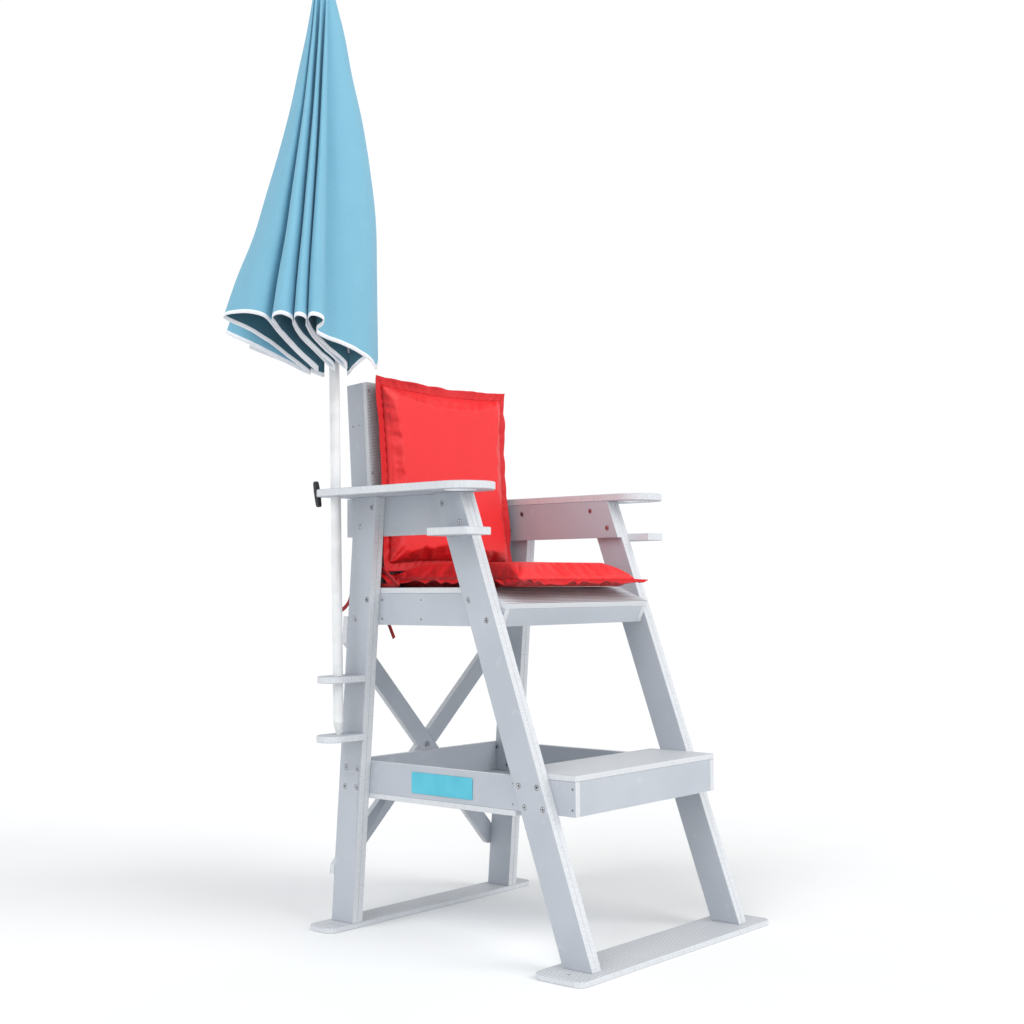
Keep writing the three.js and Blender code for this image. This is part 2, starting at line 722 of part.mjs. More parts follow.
const bar = knobBar().translate(clampX, hubBackY + barDepth, clampZ);
piece('clamp_knob', join(alongY(hubDiameter, hubFrontY, hubBackY + edgeRound * 2, poleSides), bar), 'black');

// Parasol, in its own group: Z runs up the pole from the lower bracket's top
const poleRadius = poleDiameter / 2;
const seatRadius = tipSeatDiameter / 2;
const coneShare = (poleRadius - seatRadius) / tipAboveSeat;
const tipBottom = tipAboveSeat - tipLength;
const tipEndRadius = Math.max(tipEndDiameter / 2, poleRadius - coneShare * tipLength);
const spigotRadius = spigotDiameter / 2;
const poleBottom = tipAboveSeat + gap;
const socketRadius = spigotRadius + gap;
const socketDepth = spigotLength + gap;

piece('parasol_tip', turned([
  [0, tipBottom],
  [tipEndRadius, tipBottom],
  [poleRadius, tipAboveSeat],
  [spigotRadius, tipAboveSeat],
  [spigotRadius, tipAboveSeat + spigotLength],
  [0, tipAboveSeat + spigotLength],
], poleSides), 'grey', parasol);

const jointSocketRadius = jointSpigotDiameter / 2 + jointPlay;
const jointSocketDepth = jointSpigotLength + gap;
const lowerPoleTop = poleJoint - gap;
piece('parasol_lower_pole', turned([
  [0, poleBottom + socketDepth],
  [socketRadius, poleBottom + socketDepth],
  [socketRadius, poleBottom],
  [poleRadius, poleBottom],
  [poleRadius, lowerPoleTop],
  [jointSocketRadius, lowerPoleTop],
  [jointSocketRadius, lowerPoleTop - jointSocketDepth],
  [0, lowerPoleTop - jointSocketDepth],
], poleSides), 'pole', parasol);

// From here on Z runs up the upper pole from the joint
const upperRadius = upperPoleDiameter / 2;
const jointSpigotRadius = jointSpigotDiameter / 2;
piece('parasol_upper_pole', turned([
  [0, gap - jointSpigotLength],
  [jointSpigotRadius, gap - jointSpigotLength],
  [jointSpigotRadius, gap],
  [upperRadius, gap],
  [upperRadius, upperPoleLength],
  [socketRadius, upperPoleLength],
  [socketRadius, upperPoleLength - socketDepth],
  [0, upperPoleLength - socketDepth],
], poleSides), 'pole', parasolHead);

const crownBottom = upperPoleLength + gap;
const crownTop = crownBottom + crownThickness;
const finialRadius = finialDiameter / 2;
const domeRings = 5;
const dome = Array.from({ length: domeRings }, (_, ring) => {
  const turn = (ring + 1) / domeRings * Math.PI / 2;
  return [finialRadius * Math.cos(turn), crownTop + finialHeight * Math.sin(turn)];
});
dome[domeRings - 1][0] = 0;
piece('parasol_crown', turned([
  [0, crownBottom - spigotLength],
  [spigotRadius, crownBottom - spigotLength],
  [spigotRadius, crownBottom],
  [crownDiameter / 2, crownBottom],
  [crownDiameter / 2, crownTop],
  [finialRadius, crownTop],
  ...dome,
], poleSides), 'grey', parasolHead);

const runnerRadius = runnerDiameter / 2;
const runnerNeck = (runnerRadius + upperRadius) / 2;
const runnerStep = runnerHeight + runnerLength * 2 / 3;
const runnerTop = runnerHeight + runnerLength;
const runnerBore = upperRadius + gap;
piece('parasol_runner', turned([
  [runnerBore, runnerHeight],
  [runnerNeck, runnerHeight],
  [runnerNeck, runnerStep],
  [runnerRadius, runnerStep],
  [runnerRadius, runnerTop],
  [runnerBore, runnerTop],
  [runnerBore, runnerHeight],
], poleSides), 'grey', parasolHead);

// Ribs, each with its stretcher folded beside it
const ribRadius = ribDiameter / 2;
const ribTopRadius = upperRadius + ribRadius + 2 * gap;
const ribTop = upperPoleLength - gap;
const ribAt = z => ribTopRadius + (ribTipRadius - ribTopRadius) * (ribTop - z) / ribLength;
const stretcherFootRadius = runnerRadius + gap + ribRadius;
const stretcherFootZ = runnerTop - ribDiameter;
const stretcherTopZ = stretcherFootZ + stretcherLength;

function rod(fromRadius, fromZ, toRadius, toZ) {
  const start = new THREE.Vector3(fromRadius, 0, fromZ);
  const end = new THREE.Vector3(toRadius, 0, toZ);
  const direction = end.clone().sub(start);
  const geometry = new THREE.CylinderGeometry(ribRadius, ribRadius, direction.length(), rodSides);
  const turn = new THREE.Quaternion().setFromUnitVectors(new THREE.Vector3(0, 1, 0), direction.clone().normalize());
  const middle = start.add(end).multiplyScalar(0.5);
  return geometry.applyQuaternion(turn).translate(middle.x, middle.y, middle.z);
}

for (let rib = 0; rib < ribCount; rib += 1) {
  const main = rod(ribTopRadius, ribTop, ribTipRadius, ribTop - ribLength);
  const stretcher = rod(stretcherFootRadius, stretcherFootZ, ribAt(stretcherTopZ), stretcherTopZ);
  const mesh = piece(`parasol_rib_${rib + 1}`, join(main, stretcher), 'steel', parasolHead);
  mesh.rotation.z = (rib + 0.5) * 2 * Math.PI / ribCount;
}

// Closed canopy: folds that deepen towards the hem, gathered to one side of the pole
const boreTopRadius = ribTopRadius + ribRadius + 2 * gap;
const canopyTopRadius = boreTopRadius + clothBundle;
const canopyTop = ribTop;
const canopyLength = canopyTop + hemDrop;

// Points round the hem, each with its turn, how far it is drawn in, how far out its fold bulges, and the turn
// of a facet towards its fold's crest
function hemPoints() {
  const points = [];
  const last = foldShares[foldShares.length - 1];
  let [from, drawnFrom] = [last[0] - 360, last[1]];
  for (const [to, drawnTo, facets] of foldShares) {
    for (let facet = 0; facet < facets; facet += 1) {
      const along = facet / facets;
      const bulge = Math.sin(Math.PI * along) ** foldFullness;
      const drawn = (drawnFrom + (drawnTo - drawnFrom) * along) * (1 - bulge);
      const towardsCrest = facet === 0 ? 0 : Math.sign(facets - 2 * facet) * (to - from) / facets * radians;
      points.push({ turn: (from + (to - from) * along) * radians, drawn, bulge, towardsCrest });
    }
    [from, drawnFrom] = [to, drawnTo];
  }
  return points;
}

const grow = (from, to, share) => from + (to - from) * share;

// How far out the cloth reaches at a turn, along and across the gathered side's line
function reachTowards(turn, share) {
  const last = canopyRowShares.length - 1;
  const row = Math.max(1, canopyRowShares.findIndex(([down], index) => down >= share || index === last));
  const [above, below] = [canopyRowShares[row - 1], canopyRowShares[row]];
  const between = (share - above[0]) / (below[0] - above[0]);
  const [gatherShare, plainShare, depthShare] = [1, 2, 3].map(column => grow(above[column], below[column], between));
  const gathered = grow(canopyTopRadius, gatherReach, gatherShare);
  const plain = grow(canopyTopRadius, plainReach, plainShare);
  const depth = grow(canopyTopRadius, turn > 0 && turn < Math.PI ? frontReach : rearReach, depthShare);
  return [(gathered - plain) / 2 + (gathered + plain) / 2 * Math.cos(turn), depth * Math.sin(turn)];
}

// The turn follows the height, so that folds side by side stay apart where one hangs lower
function canopyPoint({ turn, drawn, bulge, towardsCrest }, share, wall) {
  const full = Math.hypot(...reachTowards(turn, share));
  const crease = grow(canopyTopRadius, creaseRadius, share);
  const radius = full - (full - crease) * drawn * share;
  const cloth = canopyLength - panelRise * bulge;
  const drop = Math.sqrt(cloth ** 2 - radius ** 2) * share;
  const [along, across] = reachTowards(turn, drop / (canopyLength - panelRise));
  const reach = radius - wall * grow(clothBundle, hemWall, share);
  const inwards = Math.min(flapWallShare * Math.abs(towardsCrest), flapWall * share / reach);
  const bearing = parasolBearing + Math.atan2(across, along) + wall * Math.sign(towardsCrest) * inwards;
  return [reach * Math.cos(bearing), reach * Math.sin(bearing), canopyTop - drop];
}

// Rings of points joined into one closed band, the last ring to the first. Both layers split their facets alike
function ringBody(rings) {
  const sides = rings[0].length;
  const positions = rings.flat(2);
  const index = [];
  rings.forEach((_, ring) => {
    const next = (ring + 1) % rings.length;
    for (let side = 0; side < sides; side += 1) {
      const right = (side + 1) % sides;
      const [a, b] = [ring * sides + side, ring * sides + right];
      const [c, d] = [next * sides + side, next * sides + right];
      index.push(...(ring < rings.length / 2 ? [a, c, b, b, c, d] : [a, c, d, a, d, b]));
    }
  });
  const geometry = new THREE.BufferGeometry();
  geometry.setAttribute('position', new THREE.Float32BufferAttribute(positions, 3));
  geometry.setIndex(index);
  return geometry;
}

function canopyBody() {
  const hem = hemPoints();
  const outside = canopyRowShares.map(([share]) => hem.map(point => canopyPoint(point, share, 0)));
  const inside = canopyRowShares.map(([share]) => hem.map(point => canopyPoint(point, share, 1)));
  return ringBody([...outside, ...inside.reverse()]);
}

piece('parasol_canopy', canopyBody(), 'canopy', parasolHead);

// Cushions: a crowned pad inside a flat stitched flange, drawn in between its corners
function cushion(length, rise, drop) {
  const halfLength = length / 2;
  const lines = half => {
    const core = (half - cushionFlange) / half;
    const inner = Array.from({ length: cushionCells + 1 }, (_, cell) =>
      core * Math.sin((cell / cushionCells - 0.5) * Math.PI));
    return [-1, ...inner, 1];
  };
  const [across, along] = [lines(cushionHalfWidth), lines(halfLength)];
  const coreX = across[across.length - 2];
  const coreY = along[along.length - 2];
  const crown = (u, v) => {
    const [p, q] = [Math.min(1, Math.abs(u) / coreX), Math.min(1, Math.abs(v) / coreY)];
    return ((1 - p ** 4) * (1 - q ** 4)) ** 0.45;
  };
  const positions = [];
  for (const level of [1, -1]) {
    for (const v of along) {
      for (const u of across) {
        const x = u * (cushionHalfWidth - cushionPull * (1 - v * v));
        const y = v * (halfLength - cushionPull * (1 - u * u));
        const height = level > 0 ? rise : drop;
        positions.push(x, y, level * (flangeThickness / 2 + (height - flangeThickness / 2) * crown(u, v)));
      }
    }
  }
  const columns = across.length;
  const sheet = columns * along.length;
  const index = [];
  for (let row = 0; row < along.length - 1; row += 1) {
    for (let column = 0; column < columns - 1; column += 1) {
      const a = row * columns + column;
      const [b, c, d] = [a + 1, a + columns, a + columns + 1];
      index.push(a, b, d, a, d, c);
      index.push(sheet + a, sheet + d, sheet + b, sheet + a, sheet + c, sheet + d);
    }
  }
  const wall = (a, b) => index.push(a, sheet + a, sheet + b, a, sheet + b, b);
  const lastRow = (along.length - 1) * columns;
  for (let column = 0; column < columns - 1; column += 1) {
    wall(column, column + 1);
    wall(lastRow + column + 1, lastRow + column);
  }
  for (let row = 0; row < along.length - 1; row += 1) {
    wall((row + 1) * columns, row * columns);
    wall(row * columns + columns - 1, (row + 1) * columns + columns - 1);
  }
  const geometry = new THREE.BufferGeometry();
  geometry.setAttribute('position', new THREE.Float32BufferAttribute(positions, 3));
  geometry.setIndex(index);
  return geometry;
}

const seatPad = piece('seat_cushion', cushion(seatCushionLength, seatCushionRise, seatCushionDrop), 'cushion');
const seatCushionMiddleY = noseY + seatDepth - seatCushionClearance - seatCushionLength / 2;
seatPad.position.set(-cushionOffset, seatCushionMiddleY, seatHeight + gap + seatCushionDrop);

const backPad = piece('back_cushion', cushion(backCushionHeight, backCushionRise, backCushionDrop), 'cushion', backrest);
backPad.rotation.x = Math.PI / 2;
backPad.position.set(-cushionOffset, -deckThickness - 2 * gap - backCushionDrop,
  backCushionStart + backCushionHeight / 2);

export default group;
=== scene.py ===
# Lifeguard chair of bolted plastic boards, with red cushions and a closed parasol in a side holder
import bpy
import bmesh
import math
from mathutils import Vector, Matrix, noise


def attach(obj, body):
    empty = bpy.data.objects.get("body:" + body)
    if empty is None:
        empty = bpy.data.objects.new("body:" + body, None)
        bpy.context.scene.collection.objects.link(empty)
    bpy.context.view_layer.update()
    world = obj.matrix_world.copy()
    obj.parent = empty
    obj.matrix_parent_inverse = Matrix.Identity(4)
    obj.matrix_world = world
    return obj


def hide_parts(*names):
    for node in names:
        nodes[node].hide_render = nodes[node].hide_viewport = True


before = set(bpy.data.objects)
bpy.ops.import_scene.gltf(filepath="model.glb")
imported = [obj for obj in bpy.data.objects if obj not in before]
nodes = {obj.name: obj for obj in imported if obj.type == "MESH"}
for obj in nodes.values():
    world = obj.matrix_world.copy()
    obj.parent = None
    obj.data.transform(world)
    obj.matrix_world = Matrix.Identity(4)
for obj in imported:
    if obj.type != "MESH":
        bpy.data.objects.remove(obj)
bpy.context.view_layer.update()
mm = 0.001


# Colours are written as they look on screen, from 0 to 255
def screenColour(red, green, blue):
    def toLinear(part):
        part = part / 255
        return part / 12.92 if part <= 0.04045 else ((part + 0.055) / 1.055) ** 2.4
    return (toLinear(red), toLinear(green), toLinear(blue), 1)


# Camera, where the photograph was taken from
camera = dict(place=(-2.7982, -1.9535, 0.8294), heading=49.512, rise=2.862, roll=-0.365,
              lens=51.77, sensor=36)


def makeCamera():
    heading, rise, roll = (math.radians(camera[k]) for k in ("heading", "rise", "roll"))
    forward = Vector((math.sin(heading) * math.cos(rise), math.cos(heading) * math.cos(rise),
                      math.sin(rise)))
    level = Vector((math.cos(heading), -math.sin(heading), 0))
    up = level.cross(forward)
    right = math.cos(roll) * level + math.sin(roll) * up
    top = math.cos(roll) * up - math.sin(roll) * level
    data = bpy.data.cameras.new("photoCamera")
    data.lens = camera["lens"]
    data.sensor_width = camera["sensor"]
    obj = bpy.data.objects.new("photoCamera", data)
    axes = Matrix((right, top, -forward)).transposed().to_4x4()
    obj.matrix_world = Matrix.Translation(camera["place"]) @ axes
    bpy.context.scene.collection.objects.link(obj)
    bpy.context.scene.camera = obj


makeCamera()
print("camera in place")


# Small node-tree helper: each call adds a node, sets its plain values and links its inputs
class Recipe:
    def __init__(self, name):
        self.material = bpy.data.materials.new(name)
        self.material.use_nodes = True
        self.tree = self.material.node_tree
        self.shader = self.tree.nodes["Principled BSDF"]

    def add(self, kind, inputs=(), **settings):
        node = self.tree.nodes.new("ShaderNode" + kind)
        for key, value in settings.items():
            setattr(node, key, value)
        for key, value in dict(inputs).items():
            self.put(node.inputs[key], value)
        return node

    def put(self, socket, value):
        if isinstance(value, bpy.types.NodeSocket):
            self.tree.links.new(value, socket)
        else:
            socket.default_value = value

    def maths(self, operation, first, second=0.0):
        return self.add("Math", {0: first, 1: second}, operation=operation).outputs[0]

    def objectPlace(self):
        return self.add("TexCoord").outputs["Object"]

    def facing(self, direction):
        normal = self.add("NewGeometry").outputs["Normal"]
        return self.add("VectorMath", {0: normal, 1: direction}, operation="DOT_PRODUCT").outputs["Value"]

    def ramp(self, value, low, high, toLow=0.0, toHigh=1.0):
        inputs = {"Value": value, "From Min": low, "From Max": high, "To Min": toLow, "To Max": toHigh}
        return self.add("MapRange", inputs, interpolation_type="SMOOTHSTEP").outputs["Result"]

    def noise(self, place, scale, detail, stretch=None):
        if stretch:
            place = self.add("Mapping", {"Vector": place, "Scale": stretch}).outputs[0]
        inputs = {"Vector": place, "Scale": scale, "Detail": detail}
        return self.add("TexNoise", inputs).outputs["Fac"]

    def blend(self, factor, first, second):
        node = self.add("Mix", data_type="RGBA")
        self.put(node.inputs["Factor"], factor)
        self.put(node.inputs[6], first)
        self.put(node.inputs[7], second)
        return node.outputs[2]

    def bump(self, height, distance, strength, under=None):
        inputs = {"Height": height, "Distance": distance, "Strength": strength}
        if under:
            inputs["Normal"] = under
        return self.add("Bump", inputs).outputs["Normal"]

    def finish(self, **inputs):
        for key, value in inputs.items():
            self.put(self.shader.inputs[key.replace("_", " ")], value)
        return self.material


# Plastic board: pebbled grey faces, paler planed edges, and a fine raised grid where feet and backs rest,
# painted pale on its raised tops and dark in its hollows as painted highlight and painted shade
board = dict(
    face=screenColour(179, 184, 192), faceDark=screenColour(173, 179, 187),
    edge=screenColour(208, 211, 215), edgeDark=screenColour(188, 192, 198),
    gripLitTop=screenColour(232, 235, 239), gripShadedHollow=screenColour(140, 144, 151),
    mottle=7.0, pebble=900.0, alongGrain=60.0, acrossGrain=900.0, scuff=30.0, scuffShare=0.25,
    pebbleShare=0.25, planingShare=0.2, relief=0.25 * mm, gripRelief=0.5 * mm, gripDiagonal=0.707,
    roughness=(0.46, 0.60),
)


def boardMaterial(name, thickness, gripPitch=None):
    r = Recipe(name)
    place = r.objectPlace()
    facing = r.facing(thickness)
    onFace = r.ramp(r.maths("ABSOLUTE", facing), 0.55, 0.85)
    mottle = r.noise(place, board["mottle"], 4.0)
    pebbles = r.noise(place, board["pebble"], 2.0)
    along = tuple(board["alongGrain"] if abs(part) > 0.5 else board["acrossGrain"] for part in thickness)
    planing = r.noise(place, 1.0, 3.0, along)
    face = r.blend(r.ramp(mottle, 0.35, 0.7), board["face"], board["faceDark"])
    edge = r.blend(r.ramp(planing, 0.4, 0.75), board["edge"], board["edgeDark"])
    scuffs = r.ramp(r.noise(place, board["scuff"], 8.0), 0.62, 0.74)
    colour = r.blend(r.maths("MULTIPLY", scuffs, board["scuffShare"]), r.blend(onFace, edge, face),
                     board["edge"])
    height = r.maths("ADD", r.maths("MULTIPLY", pebbles, board["pebbleShare"]),
                     r.maths("MULTIPLY", planing, board["planingShare"]))
    normal = r.bump(height, board["relief"], 0.5)
    if gripPitch:
        parts = r.add("SeparateXYZ", {0: place}).outputs
        flat = [parts[i] for i in range(3) if abs(thickness[i]) < 0.5]
        turn = 2 * math.pi / gripPitch * board["gripDiagonal"]
        ribs = [r.maths("SINE", r.maths("MULTIPLY", r.maths(kind, *flat[:2]), turn))
                for kind in ("ADD", "SUBTRACT")]
        grid = r.ramp(r.maths("MULTIPLY", *ribs), -0.35, 0.45)
        onGrip = r.ramp(facing, 0.6, 0.85)
        # Painted highlight on the grid's raised tops and painted shade in its hollows
        colour = r.blend(onGrip, colour, r.blend(grid, board["gripLitTop"], board["gripShadedHollow"]))
        raised = r.maths("MULTIPLY", onGrip, r.maths("SUBTRACT", 1.0, grid))
        normal = r.bump(raised, board["gripRelief"], 0.8, normal)
    roughness = r.ramp(mottle, 0.2, 0.8, *board["roughness"])
    return r.finish(Base_Color=colour, Roughness=roughness, Normal=normal)


lean = math.radians(3.7)
slope = math.radians(22.5)
boardsAcross = boardMaterial("boardAcross", (1, 0, 0))
boardsLevel = boardMaterial("boardLevel", (0, 0, 1))
boardsUpright = boardMaterial("boardUpright", (0, 1, 0))
gripLevel = boardMaterial("gripLevel", (0, 0, 1), 10 * mm)
gripSlope = boardMaterial("gripSlope", (0, -math.sin(slope), math.cos(slope)), 12 * mm)
gripBack = boardMaterial("gripBack", (0, -1, 0), 5.2 * mm)

# Metal, paint and moulded plastic
metal = dict(steel=screenColour(196, 198, 202), worn=screenColour(150, 153, 158), socketShade=screenColour(42, 44, 48),
             grain=1400.0, cloud=120.0, relief=0.03 * mm)
moulding = dict(grain=1100.0, cloud=22.0, relief=0.06 * mm)


def steelMaterial(name, colour, worn, roughness):
    r = Recipe(name)
    place = r.objectPlace()
    grain = r.noise(place, metal["grain"], 2.0)
    cloud = r.noise(place, metal["cloud"], 4.0)
    mixed = r.blend(r.ramp(cloud, 0.4, 0.7), colour, worn)
    rough = r.ramp(grain, 0.2, 0.8, roughness - 0.08, roughness + 0.12)
    return r.finish(Base_Color=mixed, Metallic=1.0, Roughness=rough, Normal=r.bump(grain, metal["relief"], 0.4))


def mouldedMaterial(name, colour, shade, roughness):
    r = Recipe(name)
    place = r.objectPlace()
    grain = r.noise(place, moulding["grain"], 3.0)
    cloud = r.noise(place, moulding["cloud"], 5.0)
    mixed = r.blend(r.ramp(cloud, 0.35, 0.72), colour, shade)
    rough = r.ramp(cloud, 0.3, 0.7, roughness - 0.05, roughness + 0.07)
    return r.finish(Base_Color=mixed, Roughness=rough, Normal=r.bump(grain, moulding["relief"], 0.5))


steel = steelMaterial("stainlessSteel", metal["steel"], metal["worn"], 0.3)
# Dark steel inside sockets and holes, as painted shade
paintedSocketShade = steelMaterial("paintedSocketShade", metal["socketShade"], metal["socketShade"], 0.5)
whitePaint = mouldedMaterial("whitePaint", screenColour(226, 227, 228), screenColour(216, 217, 218), 0.32)
ribPaint = mouldedMaterial("ribPaint", screenColour(212, 214, 215), screenColour(196, 198, 200), 0.4)
paleMoulding = mouldedMaterial("paleMoulding", screenColour(224, 225, 224), screenColour(208, 209, 209), 0.42)
blackMoulding = mouldedMaterial("blackMoulding", screenColour(24, 25, 27), screenColour(36, 37, 40), 0.42)
plateBlue = mouldedMaterial("plateBlue", screenColour(84, 186, 207), screenColour(76, 179, 201), 0.35)

# The red's shade colours, the border's red and the canopy's inside colour are painted shade; the deep colours
# vary at random
cloth = dict(
    red=screenColour(234, 24, 30), redDeep=screenColour(222, 16, 24), redPaintedShade=screenColour(168, 0, 10),
    shadedRedBorder=screenColour(206, 2, 16), redBorderPaintedShade=screenColour(142, 0, 8),
    blue=screenColour(118, 173, 196), blueDeep=screenColour(108, 164, 188),
    inside=screenColour(58, 104, 122), insideShadeDeep=screenColour(46, 90, 108),
    white=screenColour(240, 242, 245), whiteDeep=screenColour(216, 220, 228),
)
weaving = dict(coarse=5200.0, fine=6500.0, crumple=14.0, crumpleRelief=1.2 * mm, slub=420.0,
               threadRelief=0.08 * mm, paintedLightFrom=(0.1, -0.79, 0.6), redTint=(1, 0.5, 0.42, 1))


# Given a shade colour, the cloth is painted darker where it faces away from the light, as painted shade
def clothMaterial(name, colour, deep, threads, roughness, sheen, sheenTint=(1, 1, 1, 1), paintedGlow=0.0, paintedShade=None):
    r = Recipe(name)
    place = r.objectPlace()
    parts = r.add("SeparateXYZ", {0: place}).outputs
    warp = r.maths("SINE", r.maths("MULTIPLY", r.maths("ADD", parts[0], parts[1]), threads))
    weft = r.maths("SINE", r.maths("MULTIPLY", r.maths("SUBTRACT", parts[2], parts[1]), threads))
    weave = r.maths("MULTIPLY", warp, weft)
    crumple = r.noise(place, weaving["crumple"], 4.0)
    slub = r.noise(place, weaving["slub"], 3.0)
    shade = r.maths("ADD", r.maths("MULTIPLY", crumple, 0.3), r.maths("MULTIPLY", slub, 0.7))
    mixed = r.blend(r.ramp(shade, 0.3, 0.75), colour, deep)
    if paintedShade:
        # Painted shade: the colour turns to the shade colour where the cloth faces away from the light
        mixed = r.blend(r.ramp(r.facing(weaving["paintedLightFrom"]), 0.1, 0.8), paintedShade, mixed)
    normal = r.bump(crumple, weaving["crumpleRelief"], 0.3)
    normal = r.bump(weave, weaving["threadRelief"], 0.5, normal)
    return r.finish(Base_Color=mixed, Roughness=roughness, Normal=normal,
                    Sheen_Weight=sheen, Sheen_Roughness=0.4, Sheen_Tint=sheenTint,
                    Emission_Color=mixed, Emission_Strength=paintedGlow)


redCloth = clothMaterial("redCushionCloth", cloth["red"], cloth["redDeep"], weaving["coarse"], 0.46, 0.12,
                         weaving["redTint"], paintedShade=cloth["redPaintedShade"])
# The border's cloth is painted a deeper red than the pad's face, as painted shade of the loose border
shadedRedBorder = clothMaterial("shadedRedBorderCloth", cloth["shadedRedBorder"], cloth["shadedRedBorder"], weaving["coarse"], 0.6, 0.0,
                          paintedShade=cloth["redBorderPaintedShade"])
# The canopy cloth, its inside and its hem tape glow a little with painted light, as daylight comes through the
# thin cloth
blueCloth = clothMaterial("blueCanopyCloth", cloth["blue"], cloth["blueDeep"], weaving["fine"], 0.8, 0.15,
                          paintedGlow=0.07)
# The canopy's inside is painted a darker teal, as painted shade inside the closed canopy
shadedBlueInside = clothMaterial("canopyInsideShaded", cloth["inside"], cloth["insideShadeDeep"], weaving["fine"], 0.9, 0.1,
                           paintedGlow=0.04)
whiteHem = clothMaterial("whiteHemTape", cloth["white"], cloth["whiteDeep"], weaving["coarse"], 0.75, 0.1,
                         paintedGlow=0.05)
print("materials made")


# Finishes and softened edges for the CAD pieces
edges = dict(board=1.1 * mm, knob=1.2 * mm, joined=0.01 * mm, segments=2, fromAngle=math.radians(40))


def softenEdges(obj, width):
    weld = obj.modifiers.new("join", "WELD")
    weld.merge_threshold = edges["joined"]
    bevel = obj.modifiers.new("edges", "BEVEL")
    bevel.width = width
    bevel.segments = edges["segments"]
    bevel.limit_method = "ANGLE"
    bevel.angle_limit = edges["fromAngle"]
    bevel.harden_normals = True


def dress(names, material, edge=0.0):
    for name in names:
        obj = nodes[name]
        for slot in obj.material_slots:
            slot.material = material
        if edge:
            softenEdges(obj, edge)


def onBothSides(*names):
    return [f"{name}_{side}" for name in names for side in ("left", "right")]


legLayers = [f"{leg}_{layer}" for leg in onBothSides("front_leg", "rear_leg") for layer in ("outer", "inner")]
dress(legLayers + onBothSides("arm_rail", "seat_rail", "tray_rail", "back_stile"), boardsAcross, edges["board"])
dress(onBothSides("armrest", "cup_shelf") + ["parasol_bracket_upper", "parasol_bracket_lower"], boardsLevel)
dress(["tray_floor", "back_cross_board_upper", "back_cross_board_lower", "back_cross_board_bottom"],
      boardsLevel, edges["board"])
dress(["seat_fascia", "step_fascia", "seat_cross_board_middle", "seat_cross_board_rear", "tray_middle_board",
       "tray_rear_board"] + onBothSides("brace_board_rising"), boardsUpright, edges["board"])
dress(["front_foot_board", "rear_foot_board"], gripLevel)
dress(["seat_panel", "step_tread"], gripLevel, edges["board"])
dress(["seat_slope"], gripSlope, edges["board"])
dress(["back_panel"], gripBack, edges["board"])
dress(["brace_bolt", "clamp_insert", "clamp_screw"], steel)
dress(["parasol_lower_pole", "parasol_upper_pole"], whitePaint)
dress(["parasol_tip", "parasol_crown", "parasol_runner"], paleMoulding)
dress([f"parasol_rib_{i}" for i in range(1, 9)], ribPaint)
dress(["clamp_knob"], blackMoulding, edges["knob"])
print("boards dressed")


# Pieces made here
def makePiece(name, mesh, body, slot, *materials, smooth=True):
    for material in materials:
        mesh.materials.append(material)
    obj = bpy.data.objects.new(name, mesh)
    bpy.context.scene.collection.objects.link(obj)
    if smooth:
        mesh.shade_smooth()
    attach(obj, body)
    return obj


def closedMesh(builder, name):
    bmesh.ops.recalc_face_normals(builder, faces=builder.faces)
    mesh = bpy.data.meshes.new(name)
    builder.to_mesh(mesh)
    builder.free()
    return mesh


def meshFrom(name, points, faces):
    mesh = bpy.data.meshes.new(name)
    mesh.from_pydata([tuple(p) for p in points], [], faces)
    mesh.update()
    return mesh


# Smooth curve from start to end at t, with the slope at each end
def curveAt(start, end, startSlope, endSlope, t):
    return ((2 * t ** 3 - 3 * t ** 2 + 1) * start + (t ** 3 - 2 * t ** 2 + t) * startSlope
            + (3 * t ** 2 - 2 * t ** 3) * end + (t ** 3 - t ** 2) * endSlope)


# Turned heads: rings of [radius, height, whether six-sided] round an axis, painted dark from a given ring
# inwards as painted shade in the socket or hole
def turnedHead(builder, place, axis, rings, sides, shadedFrom):
    base = Vector(axis).to_track_quat("Z", "Y").to_matrix()
    sixth = math.pi / 3
    loops = []
    for radius, height, isHex in rings:
        loop = []
        for i in range(sides):
            turn = 2 * math.pi * i / sides
            reach = radius
            if isHex:
                reach = radius * math.cos(sixth / 2) / math.cos((turn + sixth / 2) % sixth - sixth / 2)
            local = Vector((reach * math.cos(turn), reach * math.sin(turn), height))
            loop.append(builder.verts.new(Vector(place) + base @ local))
        loops.append(loop)
    for step, (low, high) in enumerate(zip(loops, loops[1:])):
        for i in range(sides):
            j = (i + 1) % sides
            builder.faces.new((low[i], low[j], high[j], high[i])).material_index = int(step >= shadedFrom)
    builder.faces.new(loops[0][::-1])
    builder.faces.new(loops[-1]).material_index = 1


def finishHeads(builder, name):
    makePiece(name, closedMesh(builder, name), "chair", "steel", steel, paintedSocketShade, smooth=False)


# Bolts and nuts, the boards that they sit in, and the bolts' spacing
bolts = dict(headRadius=5.7 * mm, headHeight=4.4 * mm, socketRadius=2.2 * mm, socketDepth=2.6 * mm,
             recess=5 * mm, washerRadius=6.2 * mm, washerHeight=0.9 * mm, nutRadius=6 * mm,
             nutHeight=3.4 * mm, shankRadius=2.4 * mm, sides=24)
boards = dict(legFace=0.306, railInner=0.2577, railFace=0.2737, stileFace=0.2574,
              frontLegFoot=-0.04, frontLegBreadth=0.08, frontLegLean=math.radians(19.8),
              rearLegFoot=0.69, rearLegBreadth=0.075, rearLegLean=math.radians(4.6), footBoard=0.0133,
              armMiddle=0.9992, seatMiddle=0.7742, trayMiddle=0.366)
boltSteps = dict(halfPitch=0.023, diagonalHalfSpan=0.019, diagonalShift=0.006,
                 frontSpan=0.052, rearSpan=0.039, rearShift=-0.004)


